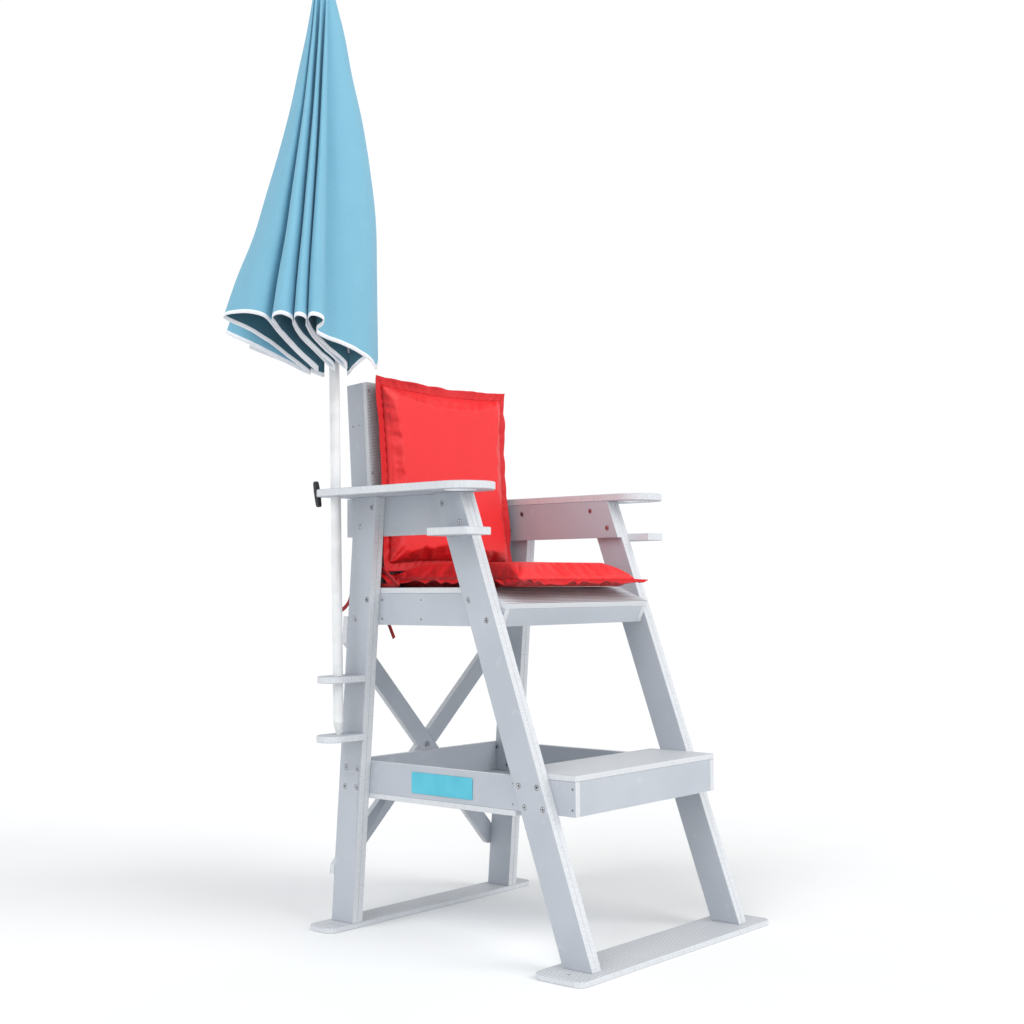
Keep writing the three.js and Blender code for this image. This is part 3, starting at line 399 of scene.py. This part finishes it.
# Middle of each leg at a height, from front to back
def frontLegMiddle(z):
    b = boards
    return b["frontLegFoot"] + (z - b["footBoard"]) * math.tan(b["frontLegLean"]) + b["frontLegBreadth"] / 2


def rearLegMiddle(z):
    b = boards
    return b["rearLegFoot"] - (z - b["footBoard"]) * math.tan(b["rearLegLean"]) + b["rearLegBreadth"] / 2


# Bolt places as [y, z] in metres, upper bolts first
def slantedPair(legMiddle, middle, towards):
    b = boltSteps
    heights = [(s, middle + s * b["halfPitch"]) for s in (1, -1)]
    return [(legMiddle(z) + towards * (b["diagonalShift"] + s * b["diagonalHalfSpan"]), z) for s, z in heights]


def squareOfFour(legMiddle, middle, reach, shift):
    heights = [middle + s * boltSteps["halfPitch"] for s in (1, -1)]
    return [(legMiddle(z) + shift + e * reach / 2, z) for z in heights for e in (1, -1)]


frontBolts = (slantedPair(frontLegMiddle, boards["armMiddle"], 1),
              slantedPair(frontLegMiddle, boards["seatMiddle"], 1),
              squareOfFour(frontLegMiddle, boards["trayMiddle"], boltSteps["frontSpan"], 0))
rearBolts = (slantedPair(rearLegMiddle, boards["armMiddle"], -1),
             slantedPair(rearLegMiddle, boards["seatMiddle"], -1),
             squareOfFour(rearLegMiddle, boards["trayMiddle"], boltSteps["rearSpan"], boltSteps["rearShift"]))


def socketHead(builder, place, axis):
    b = bolts
    radius, top, socket = b["headRadius"], b["headHeight"], b["socketRadius"]
    rings = [(radius, 0, False), (radius, top * 0.82, False), (radius * 0.9, top, False),
             (socket * 1.18, top, False), (socket, top, True), (socket, top - b["socketDepth"], True)]
    turnedHead(builder, place, axis, rings, b["sides"], 4)


def flangeNut(builder, place, axis):
    b = bolts
    base, top, radius = b["washerHeight"], b["nutHeight"], b["nutRadius"]
    crown = top + 0.4 * mm
    rings = [(b["washerRadius"], 0, False), (b["washerRadius"], base, False), (radius * 0.92, base, True),
             (radius * 0.92, top, True), (radius * 0.72, crown, False), (radius * 0.42, crown, False),
             (b["shankRadius"], top - 0.8 * mm, False)]
    turnedHead(builder, place, axis, rings, b["sides"], 5)


# Where a cross board stands, the nut is let into it and can't be seen
def nutIsHidden(y):
    return 0.19 < y < 0.215 or y > 0.714


def makeBolts(sideName, side):
    for end, groups in (("front", frontBolts), ("rear", rearBolts)):
        heads = bmesh.new()
        for y, z in groups[0] + groups[1] + groups[2]:
            socketHead(heads, (side * (boards["legFace"] - bolts["recess"]), y, z), (side, 0, 0))
        finishHeads(heads, f"{end}_leg_bolts_{sideName}")
    inner = bmesh.new()
    for y, z in frontBolts[0] + rearBolts[0]:
        socketHead(inner, (side * (boards["railInner"] + bolts["recess"]), y, z), (-side, 0, 0))
    finishHeads(inner, f"arm_rail_bolts_{sideName}")
    nuts = bmesh.new()
    for y, z in frontBolts[1] + rearBolts[1][:1] + frontBolts[2] + rearBolts[2]:
        if not nutIsHidden(y):
            flangeNut(nuts, (side * boards["railInner"], y, z), (-side, 0, 0))
    finishHeads(nuts, f"inner_nuts_{sideName}")


makeBolts("left", 1)
makeBolts("right", -1)
print("bolts made")


# Small countersunk screws, flush with the boards, as [y, z] on the rails and [depth, height] on the stiles
screws = dict(radius=3.1 * mm, socket=1.5 * mm, proud=0.25 * mm, sides=20, panelAside=0.249, panelFace=-0.0133)
railScrews = ((0.619, 0.7965), (0.619, 0.751), (0.4875, 0.7965), (0.4875, 0.751), (0.232, 0.766),
              (0.0345, 0.388), (0.0345, 0.3425), (0.2045, 0.388), (0.2045, 0.3415))
stileScrews = ((0.018, 0.408), (0.039, 0.408), (0.018, 0.148), (0.039, 0.148))
panelScrewHeights = (0.492, 0.285, 0.06)
backFrame = Matrix.Translation((0, 0.67233, 0.8255)) @ Matrix.Rotation(-lean, 4, "X")


def screwHead(builder, place, axis):
    radius, socket, proud = screws["radius"], screws["socket"], screws["proud"]
    rings = [(radius * 0.8, -0.4 * mm, False), (radius, proud * 0.5, False), (radius * 0.9, proud, False),
             (socket * 1.1, proud, False), (socket, proud - 0.3 * mm, True), (socket * 0.9, -0.3 * mm, True)]
    turnedHead(builder, place, axis, rings, screws["sides"], 3)


def makeScrews(sideName, side):
    across = Vector((side, 0, 0))
    rails = bmesh.new()
    for y, z in railScrews:
        screwHead(rails, (side * boards["railFace"], y, z), across)
    finishHeads(rails, f"rail_screws_{sideName}")
    backs = bmesh.new()
    for depth, height in stileScrews:
        screwHead(backs, backFrame @ Vector((side * boards["stileFace"], depth, height)), across)
    out = backFrame @ Vector((0, -1, 0)) - backFrame @ Vector((0, 0, 0))
    for height in panelScrewHeights:
        place = backFrame @ Vector((side * screws["panelAside"], screws["panelFace"], height))
        screwHead(backs, place, out)
    finishHeads(backs, f"back_screws_{sideName}")


makeScrews("left", 1)
makeScrews("right", -1)
print("screws made")


# Bare plate on the tray's right rail
plate = dict(front=0.3255, back=0.5195, low=0.3395, high=0.3895, thickness=1.8 * mm, corner=4 * mm,
             lip=2.2 * mm, cornerSteps=6)


def makePlate():
    p = plate
    middleY, middleZ = (p["front"] + p["back"]) / 2, (p["low"] + p["high"]) / 2
    quarters = ((p["back"], p["high"], 0), (p["front"], p["high"], 90),
                (p["front"], p["low"], 180), (p["back"], p["low"], 270))
    rims = ((0, 0), (0, p["thickness"] * 0.7), (0.5 * mm, p["thickness"]),
            (p["lip"], p["thickness"]), (p["lip"] + 0.5 * mm, p["thickness"] * 0.82))
    builder = bmesh.new()
    loops = []
    for inset, height in rims:
        loop = []
        radius = p["corner"] - inset
        for cornerY, cornerZ, start in quarters:
            centreY = cornerY - math.copysign(p["corner"], cornerY - middleY)
            centreZ = cornerZ - math.copysign(p["corner"], cornerZ - middleZ)
            for i in range(p["cornerSteps"] + 1):
                turn = math.radians(start + 90 * i / p["cornerSteps"])
                point = (-boards["railFace"] - height, centreY + radius * math.cos(turn),
                         centreZ + radius * math.sin(turn))
                loop.append(builder.verts.new(point))
        loops.append(loop)
    count = len(loops[0])
    for low, high in zip(loops, loops[1:]):
        for i in range(count):
            j = (i + 1) % count
            builder.faces.new((low[i], low[j], high[j], high[i]))
    builder.faces.new(loops[0])
    builder.faces.new(loops[-1][::-1])
    makePiece("side_plate", closedMesh(builder, "side_plate"), "chair", "board", plateBlue, smooth=False)


makePlate()
print("plate made")


# Closed canopy. Its own frame stands on the pole's joint and leans with the upper pole
canopy = dict(
    foot=(-0.362, 0.67909, 0.474), poleLean=0.64, joint=0.911, jointLean=0.97, bearing=130.5,
    top=0.9597, topRadius=0.0176, length=0.9997, rows=30, crowding=0.95, points=760, ribTurn=-22.0,
    slant=1.15, hemTape=0.011, thickness=0.9 * mm,
)
# Slight unevenness of the cloth: [scale across, scale down, start, reach along, reach across]
canopyWaves = ((14, 2.4, 7, 0.004, 0.003), (45, 5, 3, 0.0012, -0.0012))
# How far down, and how far the cloth has spread there towards the gathered side, the other side and across
canopyRows = ((0, 0, 0, 0), (0.07, 0.04, 0.11, 0.05), (0.17, 0.11, 0.33, 0.16), (0.28, 0.2, 0.5, 0.3),
              (0.4, 0.3, 0.73, 0.45), (0.52, 0.42, 0.89, 0.6), (0.64, 0.55, 0.99, 0.74), (0.76, 0.68, 1, 0.86),
              (0.88, 0.85, 1, 0.95), (1, 1, 1, 1))
# The hem's route seen from above, panel by panel from rib to rib, as millimetres towards the gathered side
# and towards the front. Each panel lists its folds; slack cloth is tucked behind the big fold
hemPanels = (
    ((62, -8), (100, 22), (146, 58), (192, 82), (230, 88), (247, 100), (240, 122), (208, 152), (176, 178),
     (152, 190), (136, 187), (127, 168), (106, 124), (72, 74)),
    ((38, 40), (64, 70), (92, 118), (112, 166), (118, 203), (94, 227), (71, 210), (70, 183),
     (60, 132), (32, 82)),
    ((-4, 46), (26, 89), (54, 137), (64, 182), (64, 212), (49, 229), (35, 211), (40, 181),
     (30, 131), (4, 88)),
    ((-36, 55), (-2, 96), (25, 135), (34, 176), (30, 211), (14, 228), (-4, 214), (2, 196),
     (16, 182), (18, 166), (2, 150), (-30, 134), (-66, 104), (-94, 58)),
    ((-103, 12), (-105, -10), (-99, -26), (-68, -16), (-44, -10), (-64, -28), (-92, -42), (-98, -52),
     (-88, -58), (-58, -42), (-39, -27), (-36, -36), (-56, -58), (-77, -80), (-72, -91), (-58, -84),
     (-38, -58)),
    ((-28, -42), (-33, -66), (-48, -100), (-40, -111), (-28, -104), (-20, -74), (-13, -48), (-6, -48),
     (-11, -76), (-15, -108), (-4, -117), (6, -104), (4, -74)),
    ((5, -50), (14, -52), (16, -78), (20, -106), (30, -110), (36, -98), (34, -76), (44, -72), (80, -92),
     (128, -104), (164, -98), (168, -91), (160, -88), (126, -92), (82, -83), (79, -76), (126, -81), (178, -76),
     (184, -70), (176, -65), (124, -72), (66, -70), (36, -60)),
    ((34, -52), (66, -60), (128, -63), (196, -54), (214, -47), (196, -43), (130, -50), (78, -48), (76, -40),
     (130, -36), (198, -20), (246, -4), (261, 14), (246, 30), (200, 46), (150, 30), (104, 2), (72, -22)),
)
# Height of each panel's hem above the rib ends, in millimetres, and how far across the panel it is highest
hemRise = ((92, 0.5), (76, 0.5), (74, 0.5), (76, 0.4), (80, 0.5), (80, 0.5), (80, 0.5), (86, 0.6))


# Values of a table of rows at a place in its first column, joined by smooth curves
def smoothLookup(table, at):
    last = len(table) - 2
    step = next((i for i in range(last + 1) if at <= table[i + 1][0]), last)
    a, b = table[step], table[step + 1]
    before, after = table[max(step - 1, 0)], table[min(step + 2, last + 1)]
    width = b[0] - a[0]
    values = []
    for k in range(1, len(a)):
        slopeA = (b[k] - before[k]) / (b[0] - before[0]) * width
        slopeB = (after[k] - a[k]) / (after[0] - a[0]) * width
        values.append(curveAt(a[k], b[k], slopeA, slopeB, (at - a[0]) / width))
    return values


# Points evenly spaced along the hem's smooth route, each with the panels passed by then
def hemPoints():
    route = [Vector((x, y)) * mm for panel in hemPanels for x, y in panel]
    corners = [0]
    for panel in hemPanels:
        corners.append(corners[-1] + len(panel))
    count, steps = len(route), 12
    fine = []
    for i in range(count):
        before, start, end, after = (route[(i + k) % count] for k in (-1, 0, 1, 2))
        reach = (end - start).length
        slopes = (end - before).normalized() * reach, (after - start).normalized() * reach
        fine += [curveAt(start, end, *slopes, k / steps) for k in range(steps)]
    lengths = [0]
    for i in range(len(fine)):
        lengths.append(lengths[-1] + (fine[(i + 1) % len(fine)] - fine[i]).length)
    ribs = [lengths[corner * steps] for corner in corners]
    points, step = [], 0
    for i in range(canopy["points"]):
        at = lengths[-1] * i / canopy["points"]
        while lengths[step + 1] < at:
            step += 1
        share = (at - lengths[step]) / (lengths[step + 1] - lengths[step])
        place = fine[step].lerp(fine[(step + 1) % len(fine)], share)
        panel = next(k for k in range(len(hemPanels)) if at <= ribs[k + 1])
        points.append((place, panel + (at - ribs[panel]) / (ribs[panel + 1] - ribs[panel])))
    return points


# Length of cloth from the top to the hem, which rises between the ribs
def clothLength(panels):
    rise, peak = hemRise[int(panels) % len(hemRise)]
    past = panels % 1 - peak
    away = -past / peak if past < 0 else past / (1 - peak)
    power = 2 if peak == 0.5 or past < 0 else canopy["slant"]
    return canopy["length"] - rise * mm * (1 - away ** power)


def canopyPoint(point, share):
    place, panels = point
    c = canopy
    gather, plain, depth = smoothLookup(canopyRows, share)
    turn = math.radians(c["ribTurn"] + 360 * panels / len(hemPanels))
    top = c["topRadius"] * (1 - share)
    along = place.x * (gather if place.x > 0 else plain) + top * math.cos(turn)
    across = place.y * depth + top * math.sin(turn)
    radius = math.hypot(along, across)
    for scale, scaleDown, start, reachAlong, reachAcross in canopyWaves:
        wave = noise.noise(Vector((place.x * scale, place.y * scale, share * scaleDown + start)))
        along += share * reachAlong * wave
        across += share * reachAcross * wave
    drop = math.sqrt(clothLength(panels) ** 2 - radius ** 2) * share
    turned = math.radians(c["bearing"])
    return Vector((along * math.cos(turned) - across * math.sin(turned),
                   along * math.sin(turned) + across * math.cos(turned), c["top"] - drop))


def canopyFrame():
    c = canopy
    b = math.radians(c["bearing"])
    axis = Vector((-math.sin(b), math.cos(b), 0))
    low = Matrix.Translation(c["foot"]) @ Matrix.Rotation(math.radians(c["poleLean"]), 4, axis)
    return low @ Matrix.Translation((0, 0, c["joint"])) @ Matrix.Rotation(math.radians(c["jointLean"]), 4, axis)


def makeCanopy():
    c = canopy
    stand = canopyFrame()
    hem = hemPoints()
    lastShare = 1 - c["hemTape"] / c["length"]
    shares = [lastShare * (i / (c["rows"] - 1)) ** c["crowding"] for i in range(c["rows"])] + [1]
    points = [stand @ canopyPoint(point, share) for share in shares for point in hem]
    count, hemRow = len(hem), len(shares) - 2
    faces, kinds = [], []
    for row in range(hemRow + 1):
        for i in range(count):
            j = (i + 1) % count
            faces.append((row * count + i, (row + 1) * count + i, (row + 1) * count + j, row * count + j))
            kinds.append(2 if row == hemRow else 0)
    mesh = meshFrom("canopy_cloth", points, faces)
    mesh.polygons.foreach_set("material_index", kinds)
    obj = makePiece("canopy_cloth", mesh, "parasol", "canopy_cloth", blueCloth, shadedBlueInside, whiteHem, whiteHem)
    thick = obj.modifiers.new("thickness", "SOLIDIFY")
    thick.thickness = c["thickness"]
    thick.offset = 0
    thick.use_rim = True
    # The cloth's inner side takes the darker teal, painted shade inside the canopy
    thick.material_offset = 1
    thick.material_offset_rim = 2
    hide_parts("parasol_canopy")


makeCanopy()
print("canopy made")


# Cushions: a pressed pad inside a loose gathered border
pads = dict(
    seat=dict(width=0.494, length=0.462, rise=0.043, drop=0.016, pull=0.008, border=0.024, cell=0.0075,
              pressure=4.0, slack=0.012, cap=0.012, seed=3.0, wave=0.0060, fold=1.0, droop=0.006,
              curl=0.022, curlFrom=0.86, seam=0.0, edge=11),
    back=dict(width=0.490, length=0.490, rise=0.030, drop=0.022, pull=0.008, border=0.022, cell=0.0075,
              pressure=4.0, slack=0.012, cap=0.006, seed=11.0, wave=0.0045, fold=0.3, droop=-0.003,
              curl=0.0, curlFrom=0.86, seam=0.003, edge=15),
)
pucker = dict(height=0.0005, reach=0.009, width=0.0176, fadeIn=0.006)
cushionCloth = dict(quality=6, mass=0.25, tension=12, compression=12, shear=4, bending=0.35, frames=20)
band = dict(
    points=520, inside=0.003, wave=1.6, waveScale=14, foldStep=0.056, foldDrift=1.3, driftScale=9,
    driftSeed=5.0, foldScale=6, foldSeed=4, cornerSharpness=10, cornerCalm=0.6, cornerRise=0.006,
    rampUp=1.3, tuck=0.0011, tuckStep=0.8, spread=0.0016,
    profile=((0.0, 2.2), (0.12, 1.5), (0.5, 0.9), (0.8, 1.0), (0.94, 1.1), (1.0, 0.5)),
)
seatPlace = Matrix.Translation((-0.010, 0.421, 0.8418))
backPlace = backFrame @ Matrix.Translation((-0.010, -0.0356, 0.281)) @ Matrix.Rotation(math.pi / 2, 4, "X")


def outlinePoint(p, u, v, inset):
    halfX, halfY = p["width"] / 2 - inset, p["length"] / 2 - inset
    return u * (halfX - p["pull"] * (1 - v * v)), v * (halfY - p["pull"] * (1 - u * u))


# Grid places are crowded towards the seam
def gridPlace(step, count):
    share = step / count
    return 0.45 * math.sin((share - 0.5) * math.pi) + 0.55 * (2 * share - 1)


# The pad before it is pressed: steep sides, a nearly level top, both halves meeting in the seam
def pillowMesh(name, p):
    acrossCount = round((p["width"] - 2 * p["border"]) / p["cell"])
    alongCount = round((p["length"] - 2 * p["border"]) / p["cell"])
    rows, columns = range(alongCount + 1), range(acrossCount + 1)
    topReach, lowReach = 0.88 * (p["rise"] - p["seam"]), -0.95 * (p["drop"] + p["seam"])
    points, index, seam = [], {}, []
    for level, reach in ((1, topReach), (-1, lowReach)):
        for row in rows:
            for column in columns:
                onSeam = row in (0, alongCount) or column in (0, acrossCount)
                if level < 0 and onSeam:
                    index[level, row, column] = index[1, row, column]
                    continue
                u, v = gridPlace(column, acrossCount), gridPlace(row, alongCount)
                x, y = outlinePoint(p, u, v, p["border"])
                height = p["seam"]
                if onSeam:
                    seam.append(len(points))
                else:
                    crown = ((1 - abs(u) ** p["edge"]) * (1 - abs(v) ** p["edge"])) ** 0.42
                    crown *= 0.9 + 0.1 * (1 - u * u) * (1 - v * v)
                    jitter = noise.noise(Vector((x * 30, y * 30, p["seed"] + level)))
                    height += crown * reach + 0.0012 * jitter
                index[level, row, column] = len(points)
                points.append((x, y, height))
    faces = []
    for level in (1, -1):
        for row in range(alongCount):
            for column in range(acrossCount):
                quad = [index[level, row + dr, column + dc] for dr, dc in ((0, 0), (0, 1), (1, 1), (1, 0))]
                faces.append(quad if level > 0 else quad[::-1])
    return meshFrom(name, points, faces), seam


def pressPad(mesh, seam, p):
    scene = bpy.context.scene
    obj = bpy.data.objects.new("pressing", mesh)
    scene.collection.objects.link(obj)
    pins = obj.vertex_groups.new(name="seam")
    pins.add(seam, 1.0, "REPLACE")
    press = obj.modifiers.new("press", "CLOTH")
    settings = press.settings
    settings.quality = cushionCloth["quality"]
    settings.mass = cushionCloth["mass"]
    settings.tension_stiffness = cushionCloth["tension"]
    settings.compression_stiffness = cushionCloth["compression"]
    settings.shear_stiffness = cushionCloth["shear"]
    settings.bending_stiffness = cushionCloth["bending"]
    settings.use_pressure = True
    settings.uniform_pressure_force = p["pressure"]
    settings.shrink_min = -p["slack"]
    settings.vertex_group_mass = "seam"
    settings.effector_weights.gravity = 0
    press.collision_settings.use_self_collision = False
    press.point_cache.frame_start, press.point_cache.frame_end = 1, cushionCloth["frames"]
    for step in range(1, cushionCloth["frames"] + 1):
        scene.frame_set(step)
    pressed = obj.evaluated_get(bpy.context.evaluated_depsgraph_get())
    places = [v.co.copy() for v in pressed.to_mesh().vertices]
    pressed.to_mesh_clear()
    bpy.data.objects.remove(obj)
    scene.frame_set(1)
    return places


def capped(start, end, cap):
    move = end - start
    return start + move * min(1.0, cap / max(move.length, 1e-9))


# Small gathers that run in from the seam, as a height at a place on the pad
def gather(p, place):
    x, y = place.x, place.y
    halfX, halfY = p["width"] / 2 - p["border"], p["length"] / 2 - p["border"]
    sides = ((halfX - abs(x), y + math.copysign(0.3, x)), (halfY - abs(y), x + math.copysign(0.7, y)))
    total = 0.0
    for away, along in sides:
        away = max(away, 0.0)
        drift = 3.0 * noise.noise(Vector((along * 11, p["seed"], 0)))
        strength = 0.45 + 0.55 * noise.noise(Vector((along * 23, 0, p["seed"])))
        wave = math.sin(2 * math.pi * along / pucker["width"] + drift)
        total += strength * wave * math.exp(-away / pucker["reach"]) * min(1.0, away / pucker["fadeIn"])
    return pucker["height"] * total


# The loose border: a thin closed band whose outer edge waves, gathered where it meets the seam
def bandPoint(p, i, share, half):
    b = band
    t = 4 * i / b["points"]
    f = 2 * (t % 1) - 1
    u, v = ((f, -1), (1, f), (-f, 1), (-1, -f))[int(t)]
    x, y = outlinePoint(p, u, v, p["border"] * (1 - share) + (b["inside"] if share == 0 else 0))
    wave = noise.noise(Vector((x, y, 0)) * b["waveScale"] + Vector((0, 0, p["seed"])))
    drift = b["foldDrift"] * noise.noise(Vector((x, y, 0)) * b["driftScale"] + Vector((0, 0, b["driftSeed"])))
    fold = 2 * abs(math.sin(math.pi * (i * b["foldStep"] + drift))) - 1
    foldSeed = Vector((0, 0, p["seed"] + b["foldSeed"]))
    fold *= p["fold"] * (0.5 + noise.noise(Vector((x, y, 0)) * b["foldScale"] + foldSeed))
    corner = (abs(u) * abs(v)) ** b["cornerSharpness"]
    curled = min(1.0, max(0.0, (v - p["curlFrom"]) / (1 - p["curlFrom"])))
    sway = p["wave"] * (b["wave"] * wave + fold) * (1 - b["cornerCalm"] * corner)
    lift = share ** b["rampUp"] * (sway - p["droop"]) + corner * b["cornerRise"] * share
    lift += p["curl"] * share * curled
    tuckPhase = i * b["tuckStep"] + 4 * noise.noise(Vector((i * 0.05, p["seed"], 0)))
    tuck = b["tuck"] * math.sin(tuckPhase) * (1 - share)
    spread = share * b["spread"] * (fold + wave) * (1 - corner)
    x += spread * (u if abs(u) == 1 else 0)
    y += spread * (v if abs(v) == 1 else 0)
    return Vector((x, y, p["seam"] + lift + tuck + half * mm))


def borderBand(p, builder, place):
    profile = list(band["profile"]) + [(share, -half) for share, half in reversed(band["profile"])]
    count = band["points"]
    loops = [[builder.verts.new(place @ bandPoint(p, i, share, half)) for i in range(count)]
             for share, half in profile]
    for low, high in zip(loops, loops[1:] + loops[:1]):
        for i in range(count):
            j = (i + 1) % count
            builder.faces.new((low[i], low[j], high[j], high[i])).material_index = 1


def makeCushion(name, p, place, replaced):
    mesh, seam = pillowMesh(name, p)
    starts = [v.co.copy() for v in mesh.vertices]
    ends = pressPad(mesh.copy(), seam, p)
    for vertex, start, end in zip(mesh.vertices, starts, ends):
        vertex.co = capped(start, end, p["cap"])
    builder = bmesh.new()
    builder.from_mesh(mesh)
    bmesh.ops.subdivide_edges(builder, edges=builder.edges, cuts=1, use_grid_fill=True, smooth=1.0)
    for vertex in builder.verts:
        side = 1 if vertex.co.z > p["seam"] else -1
        vertex.co.z += side * gather(p, vertex.co)
        vertex.co.z = min(max(vertex.co.z, -p["drop"] + 0.3 * mm), p["rise"])
        vertex.co = place @ vertex.co
    borderBand(p, builder, place)
    bmesh.ops.recalc_face_normals(builder, faces=builder.faces)
    builder.to_mesh(mesh)
    builder.free()
    obj = makePiece(name, mesh, "chair", "cushion_cloth", redCloth, shadedRedBorder)
    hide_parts(replaced)


makeCushion("seat_pad", pads["seat"], seatPlace, "seat_cushion")
makeCushion("back_pad", pads["back"], backPlace, "back_cushion")
print("cushions made")


# The seat cushion's ties: narrow ribbons round the near stile, as [x, y, z, towards what they lie on]
ties = dict(width=10 * mm, thickness=0.9 * mm, steps=6)
inward, forward, outward = (1, 0, 0), (0, -1, 0), (-1, 0, 0)
rearTie = [
    (-257, 584, 845, inward), (-259.5, 580, 838, inward), (-261, 577, 832.5, inward), (-262, 590, 843, inward),
    (-263, 610, 859, inward), (-264, 630, 873, inward), (-265, 655, 880, inward), (-265, 690, 872, inward),
    (-264, 722, 850, inward), (-263, 736, 822, inward), (-264, 745, 795, inward), (-265, 757, 780, inward),
    (-266, 771, 771, inward)]
lowerTie = [
    (-257.5, 583, 842, inward), (-260, 578, 833, inward), (-262, 592, 831.6, inward),
    (-263, 612, 831.5, inward), (-264, 630, 831.5, inward), (-265, 655, 831.5, inward),
    (-265, 690, 829, inward), (-263, 718, 820, inward), (-257, 731, 808, forward),
    (-247, 732, 800, forward), (-239, 729, 793, forward), (-237, 712, 789, outward),
    (-237, 690, 788, outward), (-237, 668, 784, outward), (-237, 650, 770, outward),
    (-237.5, 640, 750, outward), (-238, 629, 731, outward), (-239, 620, 716, outward),
    (-240, 612, 703, outward)]


def makeTie(name, path):
    knots = [Vector(point[:3]) * mm for point in path]
    facings = [Vector(point[3]) for point in path]
    centres, sides = [], []
    for i in range(len(knots) - 1):
        before, after = knots[max(i - 1, 0)], knots[min(i + 2, len(knots) - 1)]
        for step in range(ties["steps"] + (i == len(knots) - 2)):
            t = step / ties["steps"]
            slopes = (knots[i + 1] - before) / 2, (after - knots[i]) / 2
            centres.append(curveAt(knots[i], knots[i + 1], *slopes, t))
            sides.append(facings[i].lerp(facings[i + 1], t))
    points, faces, length = [], [], 0.0
    for i, centre in enumerate(centres):
        ahead = (centres[min(i + 1, len(centres) - 1)] - centres[max(i - 1, 0)]).normalized()
        across = ahead.cross(sides[i]).normalized() * ties["width"] / 2
        points += [centre - across, centre + across]
        if i:
            faces.append((2 * i - 2, 2 * i - 1, 2 * i + 1, 2 * i))
            length += (centre - centres[i - 1]).length
    # The ties take the border's cloth, painted a deeper red as painted shade
    obj = makePiece(name, meshFrom(name, points, faces), "chair", "cushion_cloth", shadedRedBorder)
    wall = obj.modifiers.new("wall", "SOLIDIFY")
    wall.thickness = ties["thickness"]
    wall.offset = 0


makeTie("seat_tie_rear", rearTie)
makeTie("seat_tie_lower", lowerTie)
print("ties made")


# Studio: pale floor, soft light from the front and the side, and a sky that is white all round
studio = dict(
    floor=screenColour(247, 247, 247), floorCloud=screenColour(244, 245, 246), halfFloor=20.0,
    skyColour=(0.98, 0.99, 1.0, 1), backdrop=1.03, overhead=0.32, backdropTop=24, overheadFrom=46,
    aim=(-0.1, 0.4, 1.0), spread=40,
    keyPlace=(0.8, -4.2, 4.4), keyStrength=1.45, keyColour=(1, 0.99, 0.97),
    sidePlace=(-3.3, 0.0, 4.9), sideStrength=1.3, sideColour=(0.98, 0.99, 1),
)


def makeFloor():
    half = studio["halfFloor"]
    corners = [(-half, -half, 0), (half, -half, 0), (half, half, 0), (-half, half, 0)]
    mesh = meshFrom("floor", corners, [(0, 1, 2, 3)])
    r = Recipe("floorPaint")
    cloud = r.noise(r.objectPlace(), 1.5, 3.0)
    shade = r.blend(r.ramp(cloud, 0.3, 0.7), studio["floor"], studio["floorCloud"])
    mesh.materials.append(r.finish(Base_Color=shade, Roughness=0.9))
    obj = bpy.data.objects.new("floor", mesh)
    bpy.context.scene.collection.objects.link(obj)


def softLight(name, place, strength, colour):
    data = bpy.data.lights.new(name, "SUN")
    data.energy = strength
    data.angle = math.radians(studio["spread"])
    data.color = colour
    obj = bpy.data.objects.new(name, data)
    obj.location = place
    obj.rotation_mode = "QUATERNION"
    obj.rotation_quaternion = (Vector(place) - Vector(studio["aim"])).to_track_quat("Z", "Y")
    bpy.context.scene.collection.objects.link(obj)


def makeSky():
    world = bpy.data.worlds.new("studioSky")
    world.use_nodes = True
    tree = world.node_tree
    sky = tree.nodes["Background"]
    sky.inputs["Color"].default_value = studio["skyColour"]
    direction = tree.nodes.new("ShaderNodeTexCoord")
    parts = tree.nodes.new("ShaderNodeSeparateXYZ")
    fade = tree.nodes.new("ShaderNodeMapRange")
    fade.interpolation_type = "SMOOTHSTEP"
    low, high = (math.sin(math.radians(studio[key])) for key in ("backdropTop", "overheadFrom"))
    ends = {"From Min": low, "From Max": high, "To Min": studio["backdrop"], "To Max": studio["overhead"]}
    for key, value in ends.items():
        fade.inputs[key].default_value = value
    tree.links.new(direction.outputs["Generated"], parts.inputs[0])
    tree.links.new(parts.outputs["Z"], fade.inputs["Value"])
    tree.links.new(fade.outputs["Result"], sky.inputs["Strength"])
    bpy.context.scene.world = world


makeFloor()
softLight("keyLight", studio["keyPlace"], studio["keyStrength"], studio["keyColour"])
softLight("sideLight", studio["sidePlace"], studio["sideStrength"], studio["sideColour"])
makeSky()
bpy.context.scene.view_settings.view_transform = "Standard"
print("studio lit")
